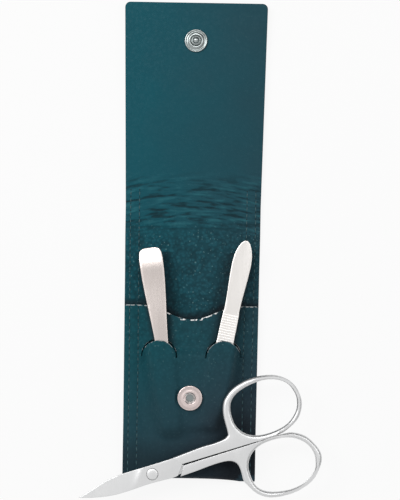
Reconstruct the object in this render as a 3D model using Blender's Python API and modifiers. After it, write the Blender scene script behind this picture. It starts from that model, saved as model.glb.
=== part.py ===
"""Manicure set in a snap-closed leather case.

The case lies open on its back: the flap at +Y, the pocket toward -Y, the flat
back on z = 0. Two flat tools stand in the slots of the pocket and a pair of
nail scissors lies across the lower right corner.
"""
import math

import bmesh
import bpy
from mathutils import Matrix

MM = 0.001

# The case, lying on its flat back, centred on the back panel
back_length = 91.8 * MM
bottom_width = 49.9 * MM
straight_length = 42.0 * MM
fold_width = 50.9 * MM
flap_end_width = 53.7 * MM
flap_past_snap = 14.3 * MM
flap_corner = 2.0 * MM
leather_thickness = 1.0 * MM
lining_thickness = 0.55 * MM
divider_thickness = 0.4 * MM
layer_gap = 0.05 * MM
weld_distance = 0.001 * MM
hinge_gap = 0.3 * MM
overrun = 5.0 * MM
coat_gap = 0.4 * MM

# The pocket: a pillow between the side seams, rounded under at the bottom
seam_inset = 5.8 * MM
outer_row_inset = 1.9 * MM
inner_row_inset = 5.2 * MM
thread_radius = 0.2 * MM
pocket_rise = 4.5 * MM
pocket_clear = 4.35 * MM
divider_seam_step = 1.1 * MM
mouth_height = 66.0 * MM
scoop_depth = 5.1 * MM
scoop_half_width = 18.0 * MM
divider_setback = 0.8 * MM
bend_reach = 3.0 * MM
bottom_waist = 1.1 * MM
taper_run = 12.0 * MM
bottom_share = 0.8
PILLOW_POWER = 3
STEEPEST = 1.6

# The two slots: half-round tongues cut out of the front leather
slot_radius = 6.6 * MM
slot_cut = 0.4 * MM
left_slot_x = -11.8 * MM
right_slot_x = 12.3 * MM
slot_height = 46.7 * MM
slot_blend = 4.4 * MM
tent_margin = 0.35 * MM
tent_reach = 6.5 * MM
ring_side_reach = 4.4 * MM
span_sag = 1.0 * MM
seam_reach = 2.6 * MM
tool_bed = 7.65 * MM

# The press stud: socket on the pocket, ball stud and cap on the flap
snap_height = 31.9 * MM
snap_seat = 9.8 * MM
pad_radius = 4.75 * MM
pad_reach = 0.95 * MM
closed_gap = 3.0 * MM
socket_radius = 4.65 * MM
socket_height = 1.5 * MM
recess_radius = 2.1 * MM
recess_depth = 0.35 * MM
socket_lip = 0.3 * MM
socket_lip_edge = 0.05 * MM
socket_lip_drop = 0.1 * MM
socket_dish = 0.9 * MM
socket_dish_drop = 0.25 * MM
socket_edge_drop = 0.15 * MM
socket_edge = 0.6 * MM
socket_bore = 1.45 * MM
ball_radius = 1.3 * MM
ball_height = 2.15 * MM
neck_radius = 0.85 * MM
stud_radius = 4.3 * MM
stud_rim = 0.75 * MM
stud_edge = 0.2 * MM
stud_edge_drop = 0.15 * MM
stud_groove_radius = 3.45 * MM
stud_ring_radius = 2.8 * MM
stud_ring_height = 0.95 * MM
stud_well_radius = 1.95 * MM
stud_floor = 0.4 * MM
cap_radius = 4.6 * MM
cap_height = 1.05 * MM
post_radius = 1.2 * MM
post_clearance = 0.3 * MM
eyelet_wall = 0.3 * MM
eyelet_flange_radius = 3.2 * MM
eyelet_flange_height = 0.5 * MM
spring_radius = 1.8 * MM
spring_wire = 0.14 * MM
REST_TILT = math.radians(0.5)

# Tweezers in the left slot, closed end up
tweezers_length = 66.0 * MM
tweezers_half_width = 4.4 * MM
tweezers_top_x = -16.0 * MM
tweezers_top_y = 41.6 * MM
arm_thickness = 0.7 * MM
arm_spread = 0.95 * MM
tip_spread = 0.55 * MM
weld_length = 9.0 * MM
ARM_ROW_SHARES = (0.4, 0.62)
TWEEZERS_LEAN = math.radians(8.4)

# Cuticle pusher in the right slot, leaf-shaped end up
pusher_length = 69.0 * MM
pusher_half_width = 3.55 * MM
pusher_top_x = 20.1 * MM
pusher_top_y = 44.8 * MM
pusher_thickness = 1.0 * MM
rib_pitch = 0.95 * MM
rib_height = 0.12 * MM
rib_start = 28.2 * MM
RIBS = 20
PUSHER_LEAN = math.radians(-11.0)

# Nail scissors, lying closed over the lower right corner
scissors_length = 90.8 * MM
scissors_bed = 9.8 * MM
scissors_thickness = 2.4 * MM
shoulder_step = 0.1 * MM
blade_gap = 0.1 * MM
plate_edge = 0.3 * MM
blade_edge = 0.1 * MM
ring_rest_x = 12.42 * MM
ring_rest_y = -20.256 * MM
screw_head_radius = 2.1 * MM
screw_head_height = 0.75 * MM
screw_crown = 0.15 * MM
screw_dome = 0.12 * MM
screw_shank_radius = 1.3 * MM
screw_clearance = 0.12 * MM
SCISSORS_TURN = math.radians(18.5)

# Where the driving sizes meet
fold_y = back_length / 2
bottom_y = -back_length / 2
widening_y = bottom_y + straight_length
flat_width = fold_width / 2
lining_top = leather_thickness + layer_gap + lining_thickness
mouth_y = bottom_y + mouth_height
snap_y = bottom_y + snap_height
slot_y = bottom_y + slot_height
bend_y = bottom_y + bend_reach + leather_thickness / 2
bend_flat = math.pi * bend_reach
seam_x = bottom_width / 2 - seam_inset
divider_seam_x = seam_x - divider_seam_step
pocket_seam = lining_top + layer_gap + divider_thickness + layer_gap
divider_middle = lining_top + layer_gap + divider_thickness / 2
divider_rise = pocket_clear - layer_gap
leather_middle = pocket_seam + leather_thickness / 2
flap_face = snap_seat + closed_gap
FIRST_TURN = math.radians(77.7)
fold_height = flap_face - lining_top
fold_step = fold_height / math.sin(FIRST_TURN)
stud_y = fold_y + fold_step * math.cos(FIRST_TURN) - snap_y
flap_length = stud_y + flap_past_snap
eyelet_radius = socket_bore + eyelet_wall

# Half widths along the tools, as shares of their length and widest half width
tweezers_width_shares = (
    (0.0, 0.48), (0.012, 0.72), (0.03, 0.88), (0.06, 0.98), (0.095, 1.0),
    (0.175, 0.965), (0.29, 0.84), (0.51, 0.57), (0.75, 0.42), (0.94, 0.3),
    (1.0, 0.18),
)
pusher_width_shares = (
    (0.0, 0.14), (0.01, 0.36), (0.025, 0.56), (0.065, 0.85), (0.12, 1.0),
    (0.2, 0.975), (0.31, 0.85), (0.385, 0.815), (0.41, 0.86), (0.56, 0.9),
    (0.84, 0.9), (0.92, 0.7), (1.0, 0.24),
)

# Scissor outlines as shares of the scissors' length, from the pivot:
# first along the axis toward the rings, then across it toward the upper ring
front_blade_top_shares = (
    (-0.3167, -0.0017), (-0.285, 0.0055), (-0.2389, 0.0175),
    (-0.2022, 0.0278), (-0.1544, 0.0352), (-0.1144, 0.0378),
    (-0.04, 0.0372), (0.04, 0.0367), (0.0955, 0.0367),
)
front_blade_bottom_shares = (
    (0.0985, -0.0372), (0.0722, -0.0395), (0.02, -0.0362),
    (-0.0367, -0.0344), (-0.1189, -0.0367), (-0.1889, -0.0333),
    (-0.25, -0.0215), (-0.295, -0.009), (-0.3167, -0.0017),
)
back_blade_top_shares = (
    (-0.308, -0.0022), (-0.2389, 0.0135), (-0.2, 0.0235),
    (-0.1544, 0.0312), (-0.1144, 0.0335), (-0.04, 0.034),
    (0.04, 0.034), (0.0905, 0.034),
)
back_blade_bottom_shares = (
    (0.118, -0.035), (0.0722, -0.0355), (0.02, -0.0322),
    (-0.0367, -0.0305), (-0.1189, -0.0325), (-0.1889, -0.0295),
    (-0.25, -0.0185), (-0.308, -0.0022),
)
upper_handle_shares = (
    (0.35, 0.0), (0.45, -0.0011), (0.5333, -0.0011), (0.57, 0.0033),
    (0.6267, 0.0294), (0.6567, 0.0633), (0.6722, 0.1067),
    (0.6656, 0.1656), (0.6356, 0.21), (0.5878, 0.2389),
    (0.5256, 0.2511), (0.4689, 0.25), (0.4111, 0.2322),
    (0.3711, 0.2022), (0.3544, 0.1722), (0.3467, 0.14),
    (0.3445, 0.105), (0.3433, 0.075), (0.3389, 0.0578),
    (0.3178, 0.0478), (0.28, 0.0444), (0.2311, 0.0456),
    (0.1822, 0.0433), (0.14, 0.0405), (0.099, 0.0383),
)
lower_handle_shares = (
    (0.106, -0.0439), (0.14, -0.0428), (0.18, -0.0417),
    (0.2544, -0.0378), (0.3111, -0.0417), (0.34, -0.06),
    (0.3478, -0.0922), (0.3467, -0.1378), (0.3567, -0.1611),
    (0.3822, -0.2044), (0.4289, -0.2367), (0.5, -0.2478),
    (0.5678, -0.2411), (0.6289, -0.2111), (0.6678, -0.1711),
    (0.6822, -0.1322), (0.6722, -0.09), (0.6433, -0.0411),
    (0.5967, -0.0105), (0.5489, -0.0044), (0.45, -0.0044), (0.35, -0.0044),
)
ring_hole_shares = (
    (0.38, 0.1022), (0.39, 0.0711), (0.4167, 0.04), (0.4622, 0.0194),
    (0.5289, 0.0167), (0.59, 0.0311), (0.6322, 0.0644),
    (0.6510, 0.1), (0.6540, 0.14), (0.635, 0.188), (0.5867, 0.22),
    (0.5189, 0.23), (0.4444, 0.2167), (0.4, 0.19), (0.3822, 0.1511),
)
ring_rest_share = (0.3467, 0.14)
shoulder_share = (0.13, 0.0025)
back_shoulder_share = (0.125, 0.0)
front_gap_share = (0.1267, -0.0015)
back_gap_share = (0.1335, -0.0044)
tongue_share = (0.158, 0.006)
back_tongue_share = (0.158, -0.01)

bpy.context.scene.unit_settings.system = "METRIC"
for old in list(bpy.data.objects):
    bpy.data.objects.remove(old, do_unlink=True)

parts = bpy.data.collections.new("manicure_set_case")
cutters = bpy.data.collections.new("cutters")
bpy.context.scene.collection.children.link(parts)
bpy.context.scene.collection.children.link(cutters)


def material(name, colour, roughness, metallic):
    """A plain material in the part's own colour."""
    made = bpy.data.materials.new(name)
    made.use_nodes = True
    shader = made.node_tree.nodes["Principled BSDF"]
    shader.inputs["Base Color"].default_value = (*colour, 1.0)
    shader.inputs["Roughness"].default_value = roughness
    shader.inputs["Metallic"].default_value = metallic
    made.diffuse_color = (*colour, 1.0)
    return made


LEATHER = (0.013, 0.078, 0.102)
LINING = (0.012, 0.072, 0.09)
THREAD = (0.07, 0.11, 0.12)
STEEL = (0.62, 0.61, 0.6)
NICKEL = (0.6, 0.57, 0.55)


def ease(share):
    """A soft step from 0 to 1."""
    share = min(max(share, 0.0), 1.0)
    return share * share * (3 - 2 * share)


def between(table, share):
    """Read a table of (place, value) shares with straight runs between."""
    for (a, low), (b, high) in zip(table, table[1:]):
        if share <= b:
            return low + (high - low) * max(share - a, 0) / (b - a)
    return table[-1][1]


def half_width(y):
    """Half the width of the back panel and pocket at a height y."""
    share = max(y - widening_y, 0) / (fold_y - widening_y)
    return (bottom_width + (fold_width - bottom_width) * share) / 2


def side_place(x, y):
    """A flat sheet's column in the real shape: only its side margins stretch."""
    if abs(x) <= seam_x:
        return x
    share = (abs(x) - seam_x) / (flat_width - seam_x)
    return math.copysign(seam_x + share * (half_width(y) - seam_x), x)


def pillow(x, seam):
    """0 at the side seams, 1 in the middle of the pocket."""
    return 1 - min(abs(x) / seam, 1) ** PILLOW_POWER


def taper(y):
    """The pocket grows a little thinner toward its bottom."""
    return 1 - (1 - bottom_share) * ease(1 - (y - bend_y) / taper_run)


def tweezers_profile(down):
    """Half width of the tweezers at a distance down from the closed end."""
    return tweezers_half_width * between(tweezers_width_shares, down / tweezers_length)


def pusher_profile(down):
    """Half width of the pusher at a distance down from its leaf-shaped end."""
    return pusher_half_width * between(pusher_width_shares, down / pusher_length)


def arm_lift(down):
    """Height of the front arm's inner face over the back arm's outer face."""
    closed = layer_gap
    middle = tweezers_length / 2
    if down <= weld_length:
        return closed
    if down <= middle:
        share = ease((down - weld_length) / (middle - weld_length))
        return closed + (arm_spread - closed) * share
    share = ease((down - middle) / (tweezers_length - middle))
    return arm_spread + (tip_spread - arm_spread) * share


def tweezers_roof(down):
    """Top of the tweezers at a distance down from the closed end."""
    down = min(max(down, 0), tweezers_length)
    return tool_bed + arm_thickness * 2 + arm_lift(down)


def pusher_roof(down):
    """Top of the pusher, the same all along."""
    return tool_bed + pusher_thickness + rib_height


class Slot:
    """One slot: its tongue and the tool that stands in it."""

    def __init__(self, x, top_x, top_y, lean, length, profile, roof, reach):
        self.x = x
        self.top_x = top_x
        self.top_y = top_y
        self.lean = lean
        self.length = length
        self.profile = profile
        self.roof = roof
        self.reach = reach

    def along(self, x, y):
        """How far down the tool and how far across it a point lies."""
        dx = x - self.top_x
        dy = y - self.top_y
        down = dx * math.sin(self.lean) - dy * math.cos(self.lean)
        across = dx * math.cos(self.lean) + dy * math.sin(self.lean)
        return down, across

    def middle(self, y):
        """Where the tool's own middle line runs at a height y."""
        return self.top_x + (self.top_y - y) * math.tan(self.lean)

    def tongue(self, x, y):
        """Whether a point is on the tongue or on the leather below it."""
        return y <= slot_y or math.hypot(x - self.x, y - slot_y) < slot_radius

    def tent(self, x, y, tongue):
        """How far the tool lifts the leather: 1 over it, 0 well beside it."""
        down, across = self.along(x, y)
        inside = min(max(down, 0), self.length)
        beside = max(abs(across) - self.profile(inside) - tent_margin, 0)
        below = max(down - self.length - tent_margin, 0)
        share = ease(1 - math.hypot(beside, below) / self.reach)
        share *= ease((seam_x - abs(x)) / seam_reach)
        if not tongue:
            share *= ease(1 - (y - slot_y) / slot_blend)
        return share, self.roof(down)


left_slot = Slot(left_slot_x, tweezers_top_x, tweezers_top_y, TWEEZERS_LEAN,
                 tweezers_length, tweezers_profile, tweezers_roof, tent_reach)
right_slot = Slot(right_slot_x, pusher_top_x, pusher_top_y, PUSHER_LEAN,
                  pusher_length, pusher_profile, pusher_roof, ring_side_reach)


def front_height(x, y, tongues):
    """Middle of the front leather's thickness over the back."""
    base = leather_middle + pocket_rise * pillow(x, seam_x) * taper(y)
    height = base
    for slot, tongue in zip((left_slot, right_slot), tongues):
        share, roof = slot.tent(x, y, tongue)
        over = roof + coat_gap + leather_thickness / 2
        height = max(height, base + (over - base) * share)
    left, right = left_slot.middle(y), right_slot.middle(y)
    span = (x - left) / (right - left)
    if 0 < span < 1:
        # between the tools the leather hangs a little, from one to the other
        ends = (left_slot.tent(left, y, any(tongues)),
                right_slot.tent(right, y, any(tongues)))
        share, roof = (a + (b - a) * span for a, b in zip(*ends))
        over = roof + coat_gap + leather_thickness / 2 - span_sag * 4 * span * (1 - span)
        height = max(height, base + (over - base) * share)
    from_pad = max(abs(x), abs(y - snap_y)) - pad_radius
    pad = ease(1 - from_pad / pad_reach)
    seat = snap_seat - leather_thickness / 2
    near = ease(1 - from_pad / tent_reach)
    height = max(height, base + (seat - base) * near)
    return height + (seat - height) * pad


def divider_height(x, y):
    """Middle of the divider's thickness over the back."""
    return divider_middle + divider_rise * pillow(x, divider_seam_x) * taper(y)


def steepness(height, x, y, *more):
    """Vertical thickness of a sloping sheet over its true thickness."""
    if abs(x) > divider_seam_x:
        return 1.0
    step = layer_gap
    dx = (height(x + step, y, *more) - height(x - step, y, *more)) / (2 * step)
    dy = (height(x, y + step, *more) - height(x, y - step, *more)) / (2 * step)
    return min(math.sqrt(1 + dx * dx + dy * dy), STEEPEST)


def new_object(name, data, collection, parent=None):
    """Link an object, keeping its place under its parent."""
    made = bpy.data.objects.new(name, data)
    collection.objects.link(made)
    made.parent = parent
    return made


def evaluated_mesh(source):
    """The mesh of an object after its modifiers, with curve caps welded."""
    bpy.context.view_layer.update()
    graph = bpy.context.evaluated_depsgraph_get()
    mesh = bpy.data.meshes.new_from_object(source.evaluated_get(graph))
    shape = bmesh.new()
    shape.from_mesh(mesh)
    bmesh.ops.remove_doubles(shape, verts=shape.verts, dist=weld_distance)
    bmesh.ops.recalc_face_normals(shape, faces=shape.faces)
    shape.to_mesh(mesh)
    shape.free()
    return mesh


def as_mesh(source, name, collection, parent=None):
    """Turn a curve, or an object with modifiers, into a plain mesh object."""
    made = new_object(name, evaluated_mesh(source), collection, parent)
    made.matrix_local = source.matrix_local.copy()
    bpy.data.objects.remove(source, do_unlink=True)
    return made


def finish(made, look, angle=40):
    """Give a part its material and smooth its round faces."""
    made.data.materials.clear()
    made.data.materials.append(look)
    if made.type == "MESH":
        made.data.shade_smooth()
        made.data.set_sharp_from_angle(angle=math.radians(angle))
    return made


def plate(name, outlines, low, high, edge, collection, parent=None):
    """A flat piece cut to its outlines, with bevelled edges."""
    curve = bpy.data.curves.new(name + "_outline", "CURVE")
    curve.dimensions = "2D"
    curve.fill_mode = "BOTH"
    curve.extrude = (high - low) / 2 - edge
    curve.bevel_depth = edge
    curve.bevel_resolution = 0
    curve.render_resolution_u = 0
    curve.offset = -edge
    for points in outlines:
        spline = curve.splines.new("POLY")
        spline.points.add(len(points) - 1)
        for point, (x, y) in zip(spline.points, points):
            point.co = (x, y, 0, 1)
        spline.use_cyclic_u = True
    source = new_object(name + "_outline", curve, collection, parent)
    source.location.z = (low + high) / 2
    return as_mesh(source, name, collection, parent)


def turned(name, profile, collection, parent=None, steps=24):
    """A turned piece: its profile at +X runs from top to bottom."""
    mesh = bpy.data.meshes.new(name)
    shape = bmesh.new()
    verts = [shape.verts.new((x, 0, z)) for x, z in profile]
    for a, b in zip(verts, verts[1:]):
        shape.edges.new((a, b))
    shape.to_mesh(mesh)
    shape.free()
    source = new_object(name + "_profile", mesh, collection, parent)
    screw = source.modifiers.new("turn", "SCREW")
    screw.steps = steps
    screw.render_steps = steps
    screw.use_merge_vertices = True
    screw.merge_threshold = weld_distance
    return as_mesh(source, name, collection, parent)


def tube(name, points, radius, parent=None, cyclic=False):
    """A thread or a wire along its points."""
    curve = bpy.data.curves.new(name, "CURVE")
    curve.dimensions = "3D"
    curve.bevel_depth = radius
    curve.bevel_resolution = 1
    curve.render_resolution_u = 0
    curve.use_fill_caps = True
    spline = curve.splines.new("POLY")
    spline.points.add(len(points) - 1)
    for point, place in zip(spline.points, points):
        point.co = (*place, 1)
    spline.use_cyclic_u = cyclic
    source = new_object(name + "_route", curve, parts, parent)
    return as_mesh(source, name, parts, parent)


def box(name, size, centre, collection, parent=None):
    """A plain box under its parent."""
    bpy.ops.mesh.primitive_cube_add(size=1)
    made = bpy.context.object
    made.name = name
    made.data.name = name
    made.data.transform(Matrix.Diagonal((*size, 1)))
    made.data.transform(Matrix.Translation(centre))
    for holder in list(made.users_collection):
        holder.objects.unlink(made)
    collection.objects.link(made)
    made.parent = parent
    return made


def cylinder(name, radius, low, high, centre, parent=None, sides=24):
    """A cutter for a round hole."""
    mesh = bpy.data.meshes.new(name)
    shape = bmesh.new()
    bmesh.ops.create_cone(shape, cap_ends=True, segments=sides, radius1=radius,
                          radius2=radius, depth=high - low)
    shape.to_mesh(mesh)
    shape.free()
    made = new_object(name, mesh, cutters, parent)
    made.location = (centre[0], centre[1], (low + high) / 2)
    return made


def cut(target, cutter, operation="DIFFERENCE"):
    """Cut one piece with another and keep the cutter out of sight."""
    cutter.hide_render = True
    cutter.display_type = "WIRE"
    modifier = target.modifiers.new(operation.lower(), "BOOLEAN")
    modifier.operation = operation
    modifier.solver = "EXACT"
    modifier.object = cutter


def settle(made):
    """Apply a piece's modifiers, leaving one plain closed mesh."""
    mesh = evaluated_mesh(made)
    made.modifiers.clear()
    made.data = mesh
    return made


def slab(name, columns, rows, thickness, collection, parent=None):
    """A flat sheet of squares with its columns and rows at given places."""
    mesh = bpy.data.meshes.new(name)
    shape = bmesh.new()
    across = len(columns) - 1
    last = len(rows) - 1
    bmesh.ops.create_grid(shape, x_segments=across, y_segments=last, size=1)
    for vert in shape.verts:
        vert.co.x = columns[round((vert.co.x + 1) / 2 * across)]
        vert.co.y = rows[round((vert.co.y + 1) / 2 * last)]
    shape.to_mesh(mesh)
    shape.free()
    made = new_object(name, mesh, collection, parent)
    shell = made.modifiers.new("thickness", "SOLIDIFY")
    shell.thickness = thickness
    shell.offset = 0
    return made


def reshape(made, place, turns_over=False):
    """Carry every corner of a settled sheet to its place in the real shape."""
    shape = bmesh.new()
    shape.from_mesh(made.data)
    bmesh.ops.triangulate(shape, faces=shape.faces)
    for vert in shape.verts:
        vert.co = place(*vert.co)
    if turns_over:
        bmesh.ops.reverse_faces(shape, faces=shape.faces)
    shape.to_mesh(made.data)
    shape.free()
    return made


def steps(low, high, count):
    """Even places from low to high, both included."""
    return [low + (high - low) * n / count for n in range(count + 1)]


def smooth_run(points, pieces=2):
    """A smooth curve through points, ending on the first and the last."""
    run = []
    ends = [points[0]] + list(points) + [points[-1]]
    for a, b, c, d in zip(ends, ends[1:], ends[2:], ends[3:]):
        for n in range(pieces):
            t = n / pieces
            run.append(tuple(
                b[i] + t * (c[i] - a[i]) / 2
                + t * t * (2 * a[i] - 5 * b[i] + 4 * c[i] - d[i]) / 2
                + t ** 3 * (3 * b[i] - a[i] - 3 * c[i] + d[i]) / 2
                for i in range(2)))
    run.append(tuple(points[-1]))
    return run


def empty(name, location, parent=None, turn_x=0.0, turn_z=0.0):
    """An axis that moving pieces hang on."""
    made = new_object(name, None, parts, parent)
    made.location = location
    made.rotation_euler = (turn_x, 0, turn_z)
    made.empty_display_size = fold_step
    return made


leather = material("teal_leather", LEATHER, 0.5, 0.0)
lining_look = material("teal_lining", LINING, 0.55, 0.0)
thread_look = material("sewing_thread", THREAD, 0.8, 0.0)
steel = material("satin_steel", STEEL, 0.3, 1.0)
nickel = material("nickel_plate", NICKEL, 0.22, 1.0)


# The outer leather: one sheet for the back, round the bottom and up the front
def flat_place(y):
    """Where a height on the front lies on the flat sheet, before bending."""
    return -(y - bend_y) - bend_flat / 2


def outer_leather_place(x, v, w):
    """Carry a point of the flat leather round the bottom of the case."""
    half = bend_flat / 2
    side = 1 if w > 0 else -1
    rise = side * leather_thickness / 2
    if v >= half:
        y = bend_y + v - half
        return (side_place(x, y), y, leather_thickness / 2 - rise)
    if v > -half:
        turn = (v + half) / bend_flat * math.pi
        real_x = side_place(x, bend_y)
        top = front_height(real_x, bend_y, (True, True))
        steep = steepness(front_height, real_x, bend_y, (True, True))
        reach = bend_reach - bottom_waist * pillow(real_x, seam_x)
        high = (top - leather_thickness / 2) / 2
        out_y = -math.sin(turn) / reach
        out_z = math.cos(turn) / high
        size = math.hypot(out_y, out_z)
        thick = rise * (1 + (steep - 1) * max(math.cos(turn), 0))
        y = bend_y - reach * math.sin(turn) + thick * out_y / size
        z = leather_thickness / 2 + high * (1 + math.cos(turn))
        return (real_x, y, z + thick * out_z / size)
    y = bend_y - half - v
    real_x = side_place(x, y)
    tongues = (left_slot.tongue(x, y), right_slot.tongue(x, y))
    middle = front_height(real_x, y, tongues)
    steep = steepness(front_height, real_x, y, tongues)
    return (real_x, y, middle + rise * steep)


pad_edge = pad_radius + pad_reach
right_columns = steps(0, pad_radius, 2) + steps(pad_edge, seam_x, 7) + [flat_width]
case_columns = [-x for x in right_columns[:0:-1]] + right_columns
front_rows = steps(mouth_y, snap_y + pad_edge, 14)
front_rows += steps(snap_y + pad_radius, snap_y - pad_radius, 3)
front_rows += steps(snap_y - pad_edge, bend_y, 9)
front_rows = [flat_place(y) for y in front_rows]
bend_rows = steps(-bend_flat / 2, bend_flat / 2, 8)
back_end = bend_flat / 2 + fold_y - bend_y - hinge_gap / 2
back_row = bend_flat / 2 + widening_y - bend_y
case_rows = front_rows + bend_rows[1:] + [back_row, back_end]
case_leather = slab("case_leather", case_columns, case_rows, leather_thickness, parts)


def scoop_y(x):
    """The mouth of the pocket: straight at the sides, scooped in the middle."""
    share = min(abs(x) / scoop_half_width, 1)
    return mouth_y - scoop_depth * (1 + math.cos(math.pi * share)) / 2


scoop_steps = steps(-scoop_half_width, scoop_half_width, 20)
scoop_outline = [(x, flat_place(scoop_y(x))) for x in scoop_steps]
scoop_outline.append((scoop_half_width, flat_place(mouth_y) - overrun))
scoop_outline.append((-scoop_half_width, flat_place(mouth_y) - overrun))
cut(case_leather, plate("mouth_scoop_cutter", [scoop_outline],
                        -leather_thickness, leather_thickness, 0, cutters))
for slot_name, slot in (("left", left_slot), ("right", right_slot)):
    band = []
    for radius, turns in ((slot_radius + slot_cut / 2, steps(0, math.pi, 16)),
                          (slot_radius - slot_cut / 2, steps(math.pi, 0, 16))):
        for turn in turns:
            band.append((slot.x + radius * math.cos(turn),
                         flat_place(slot_y + radius * math.sin(turn))))
    cut(case_leather, plate(slot_name + "_slot_cutter", [band],
                            -leather_thickness, leather_thickness, 0, cutters))
cut(case_leather, cylinder("eyelet_hole_cutter", eyelet_radius + post_clearance,
                           -leather_thickness, leather_thickness,
                           (0, flat_place(snap_y)), sides=16))
settle(case_leather)
reshape(case_leather, outer_leather_place, True)
finish(case_leather, leather, 50)


# The lining glued on the inside of the back, up to the fold
def back_sheet(name, low_y, high_y, inset, low, high, look):
    """A flat sheet as wide as the back panel."""
    right = [(half_width(y) - inset, y) for y in (low_y, widening_y, high_y)]
    outline = right + [(-x, y) for x, y in reversed(right)]
    return finish(plate(name, [outline], low, high, 0, parts), look)


back_sheet("back_lining", bend_y, fold_y - hinge_gap / 2, 0,
           leather_thickness + layer_gap, lining_top, lining_look)


# The divider between the scissors pocket and the two tool slots
def divider_place(x, v, w):
    """Carry a point of the flat divider to its pillow shape."""
    real_x = side_place(x, v)
    side = 1 if w > 0 else -1
    steep = steepness(divider_height, real_x, v)
    middle = divider_height(real_x, v)
    return (real_x, v, middle + side * divider_thickness / 2 * steep)


divider_top = mouth_y - divider_setback
right_divider = steps(0, divider_seam_x, 9) + [flat_width]
divider_columns = [-x for x in right_divider[:0:-1]] + right_divider
pocket_divider = slab("pocket_divider", divider_columns,
                      steps(bend_y + hinge_gap, divider_top, 8),
                      divider_thickness, parts)
divider_outline = [(x, scoop_y(x) - divider_setback) for x in scoop_steps]
divider_outline.append((scoop_half_width, divider_top + overrun))
divider_outline.append((-scoop_half_width, divider_top + overrun))
divider_outline.reverse()
cut(pocket_divider, plate("divider_scoop_cutter", [divider_outline],
                          -leather_thickness, leather_thickness, 0, cutters))
settle(pocket_divider)
reshape(pocket_divider, divider_place)
finish(pocket_divider, lining_look, 50)

# Two rows of stitches down each side of the pocket, and up the back panel
pocket_thread_z = pocket_seam + leather_thickness + layer_gap + thread_radius
back_thread_z = lining_top + layer_gap + thread_radius
for side_name, side in (("left", -1), ("right", 1)):
    for row_name, inset in (("outer", outer_row_inset), ("inner", inner_row_inset)):
        for area, low_y, high_y, z in (
            ("pocket", bend_y, mouth_y - thread_radius * 2, pocket_thread_z),
            ("back", mouth_y + layer_gap + thread_radius * 2,
             fold_y - hinge_gap, back_thread_z),
        ):
            route = [(side * (half_width(y) - inset), y, z)
                     for y in steps(low_y, high_y, 6)]
            finish(tube(f"{area}_stitches_{side_name}_{row_name}", route,
                        thread_radius), thread_look, 70)

# The fold: one strip of leather and lining between two hinge lines
fold_axis = empty("fold_axis", (0, fold_y, lining_top), None, REST_TILT)
strip_length = fold_step - hinge_gap
finish(box("fold_lining", (fold_width, strip_length, lining_thickness),
           (0, fold_step / 2, -lining_thickness / 2), parts, fold_axis), lining_look)
fold_leather_middle = -lining_thickness - layer_gap - leather_thickness / 2
finish(box("fold_leather", (fold_width, strip_length, leather_thickness),
           (0, fold_step / 2, fold_leather_middle), parts, fold_axis), leather)

# The flap: leather outside, lining inside, a little wider at its end
flap_axis = empty("flap_axis", (0, fold_step, 0), fold_axis, REST_TILT)


def flap_outline():
    """A tapered panel with two rounded corners at its free end."""
    narrow = fold_width / 2
    wide = flap_end_width / 2
    start = hinge_gap / 2
    points = [(-narrow, start), (narrow, start)]
    for turn in steps(0, math.pi / 2, 3):
        points.append((wide - flap_corner * (1 - math.cos(turn)),
                       flap_length - flap_corner * (1 - math.sin(turn))))
    for turn in steps(math.pi / 2, math.pi, 3):
        points.append((-wide + flap_corner * (1 + math.cos(turn)),
                       flap_length - flap_corner * (1 - math.sin(turn))))
    return points


def post_hole(name, depth):
    """A round hole for the cap's post, round in both layers."""
    return cylinder(name, post_radius + post_clearance, -depth, depth,
                    (0, stud_y), flap_axis, 16)


flap_lining = plate("flap_lining", [flap_outline()], -lining_thickness, 0, 0,
                    parts, flap_axis)
cut(flap_lining, post_hole("flap_lining_hole_cutter", overrun))
settle(flap_lining)
finish(flap_lining, lining_look)
flap_leather = plate("flap_leather", [flap_outline()], -lining_top, -lining_top
                     + leather_thickness, 0, parts, flap_axis)
cut(flap_leather, post_hole("flap_leather_hole_cutter", overrun))
settle(flap_leather)
finish(flap_leather, leather)

# The flap's press stud: a ball stud inside, a domed cap outside
ball_turns = steps(math.pi / 2, -math.asin(math.sqrt(
    1 - (neck_radius / ball_radius) ** 2)), 6)
stud_profile = [(ball_radius * max(math.cos(turn), 0),
                 ball_height + ball_radius * math.sin(turn)) for turn in ball_turns]
stud_profile[0] = (0, ball_height + ball_radius)
stud_profile += [
    (neck_radius, stud_floor), (stud_well_radius, stud_floor),
    (stud_well_radius, stud_ring_height), (stud_ring_radius, stud_ring_height),
    (stud_groove_radius, stud_floor), (stud_groove_radius + stud_edge, stud_floor),
    (stud_radius - stud_edge, stud_rim), (stud_radius, stud_rim - stud_edge_drop),
    (stud_radius, layer_gap), (0, layer_gap),
]
flap_stud = turned("flap_snap_stud", stud_profile, parts, flap_axis)
flap_stud.location.y = stud_y
finish(flap_stud, nickel)
cap_base = -lining_top - layer_gap
cap_turns = steps(math.pi / 2, 0, 4)
cap_profile = [(0, 0), (post_radius, 0), (post_radius, cap_base), (cap_radius, cap_base)]
cap_profile += [(cap_radius * math.cos(turn), cap_base - cap_height * math.sin(turn))
                for turn in cap_turns[::-1]][1:]
cap_profile[-1] = (0, cap_base - cap_height)
flap_cap = turned("flap_snap_cap", cap_profile, parts, flap_axis)
flap_cap.location.y = stud_y
finish(flap_cap, nickel)

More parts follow.
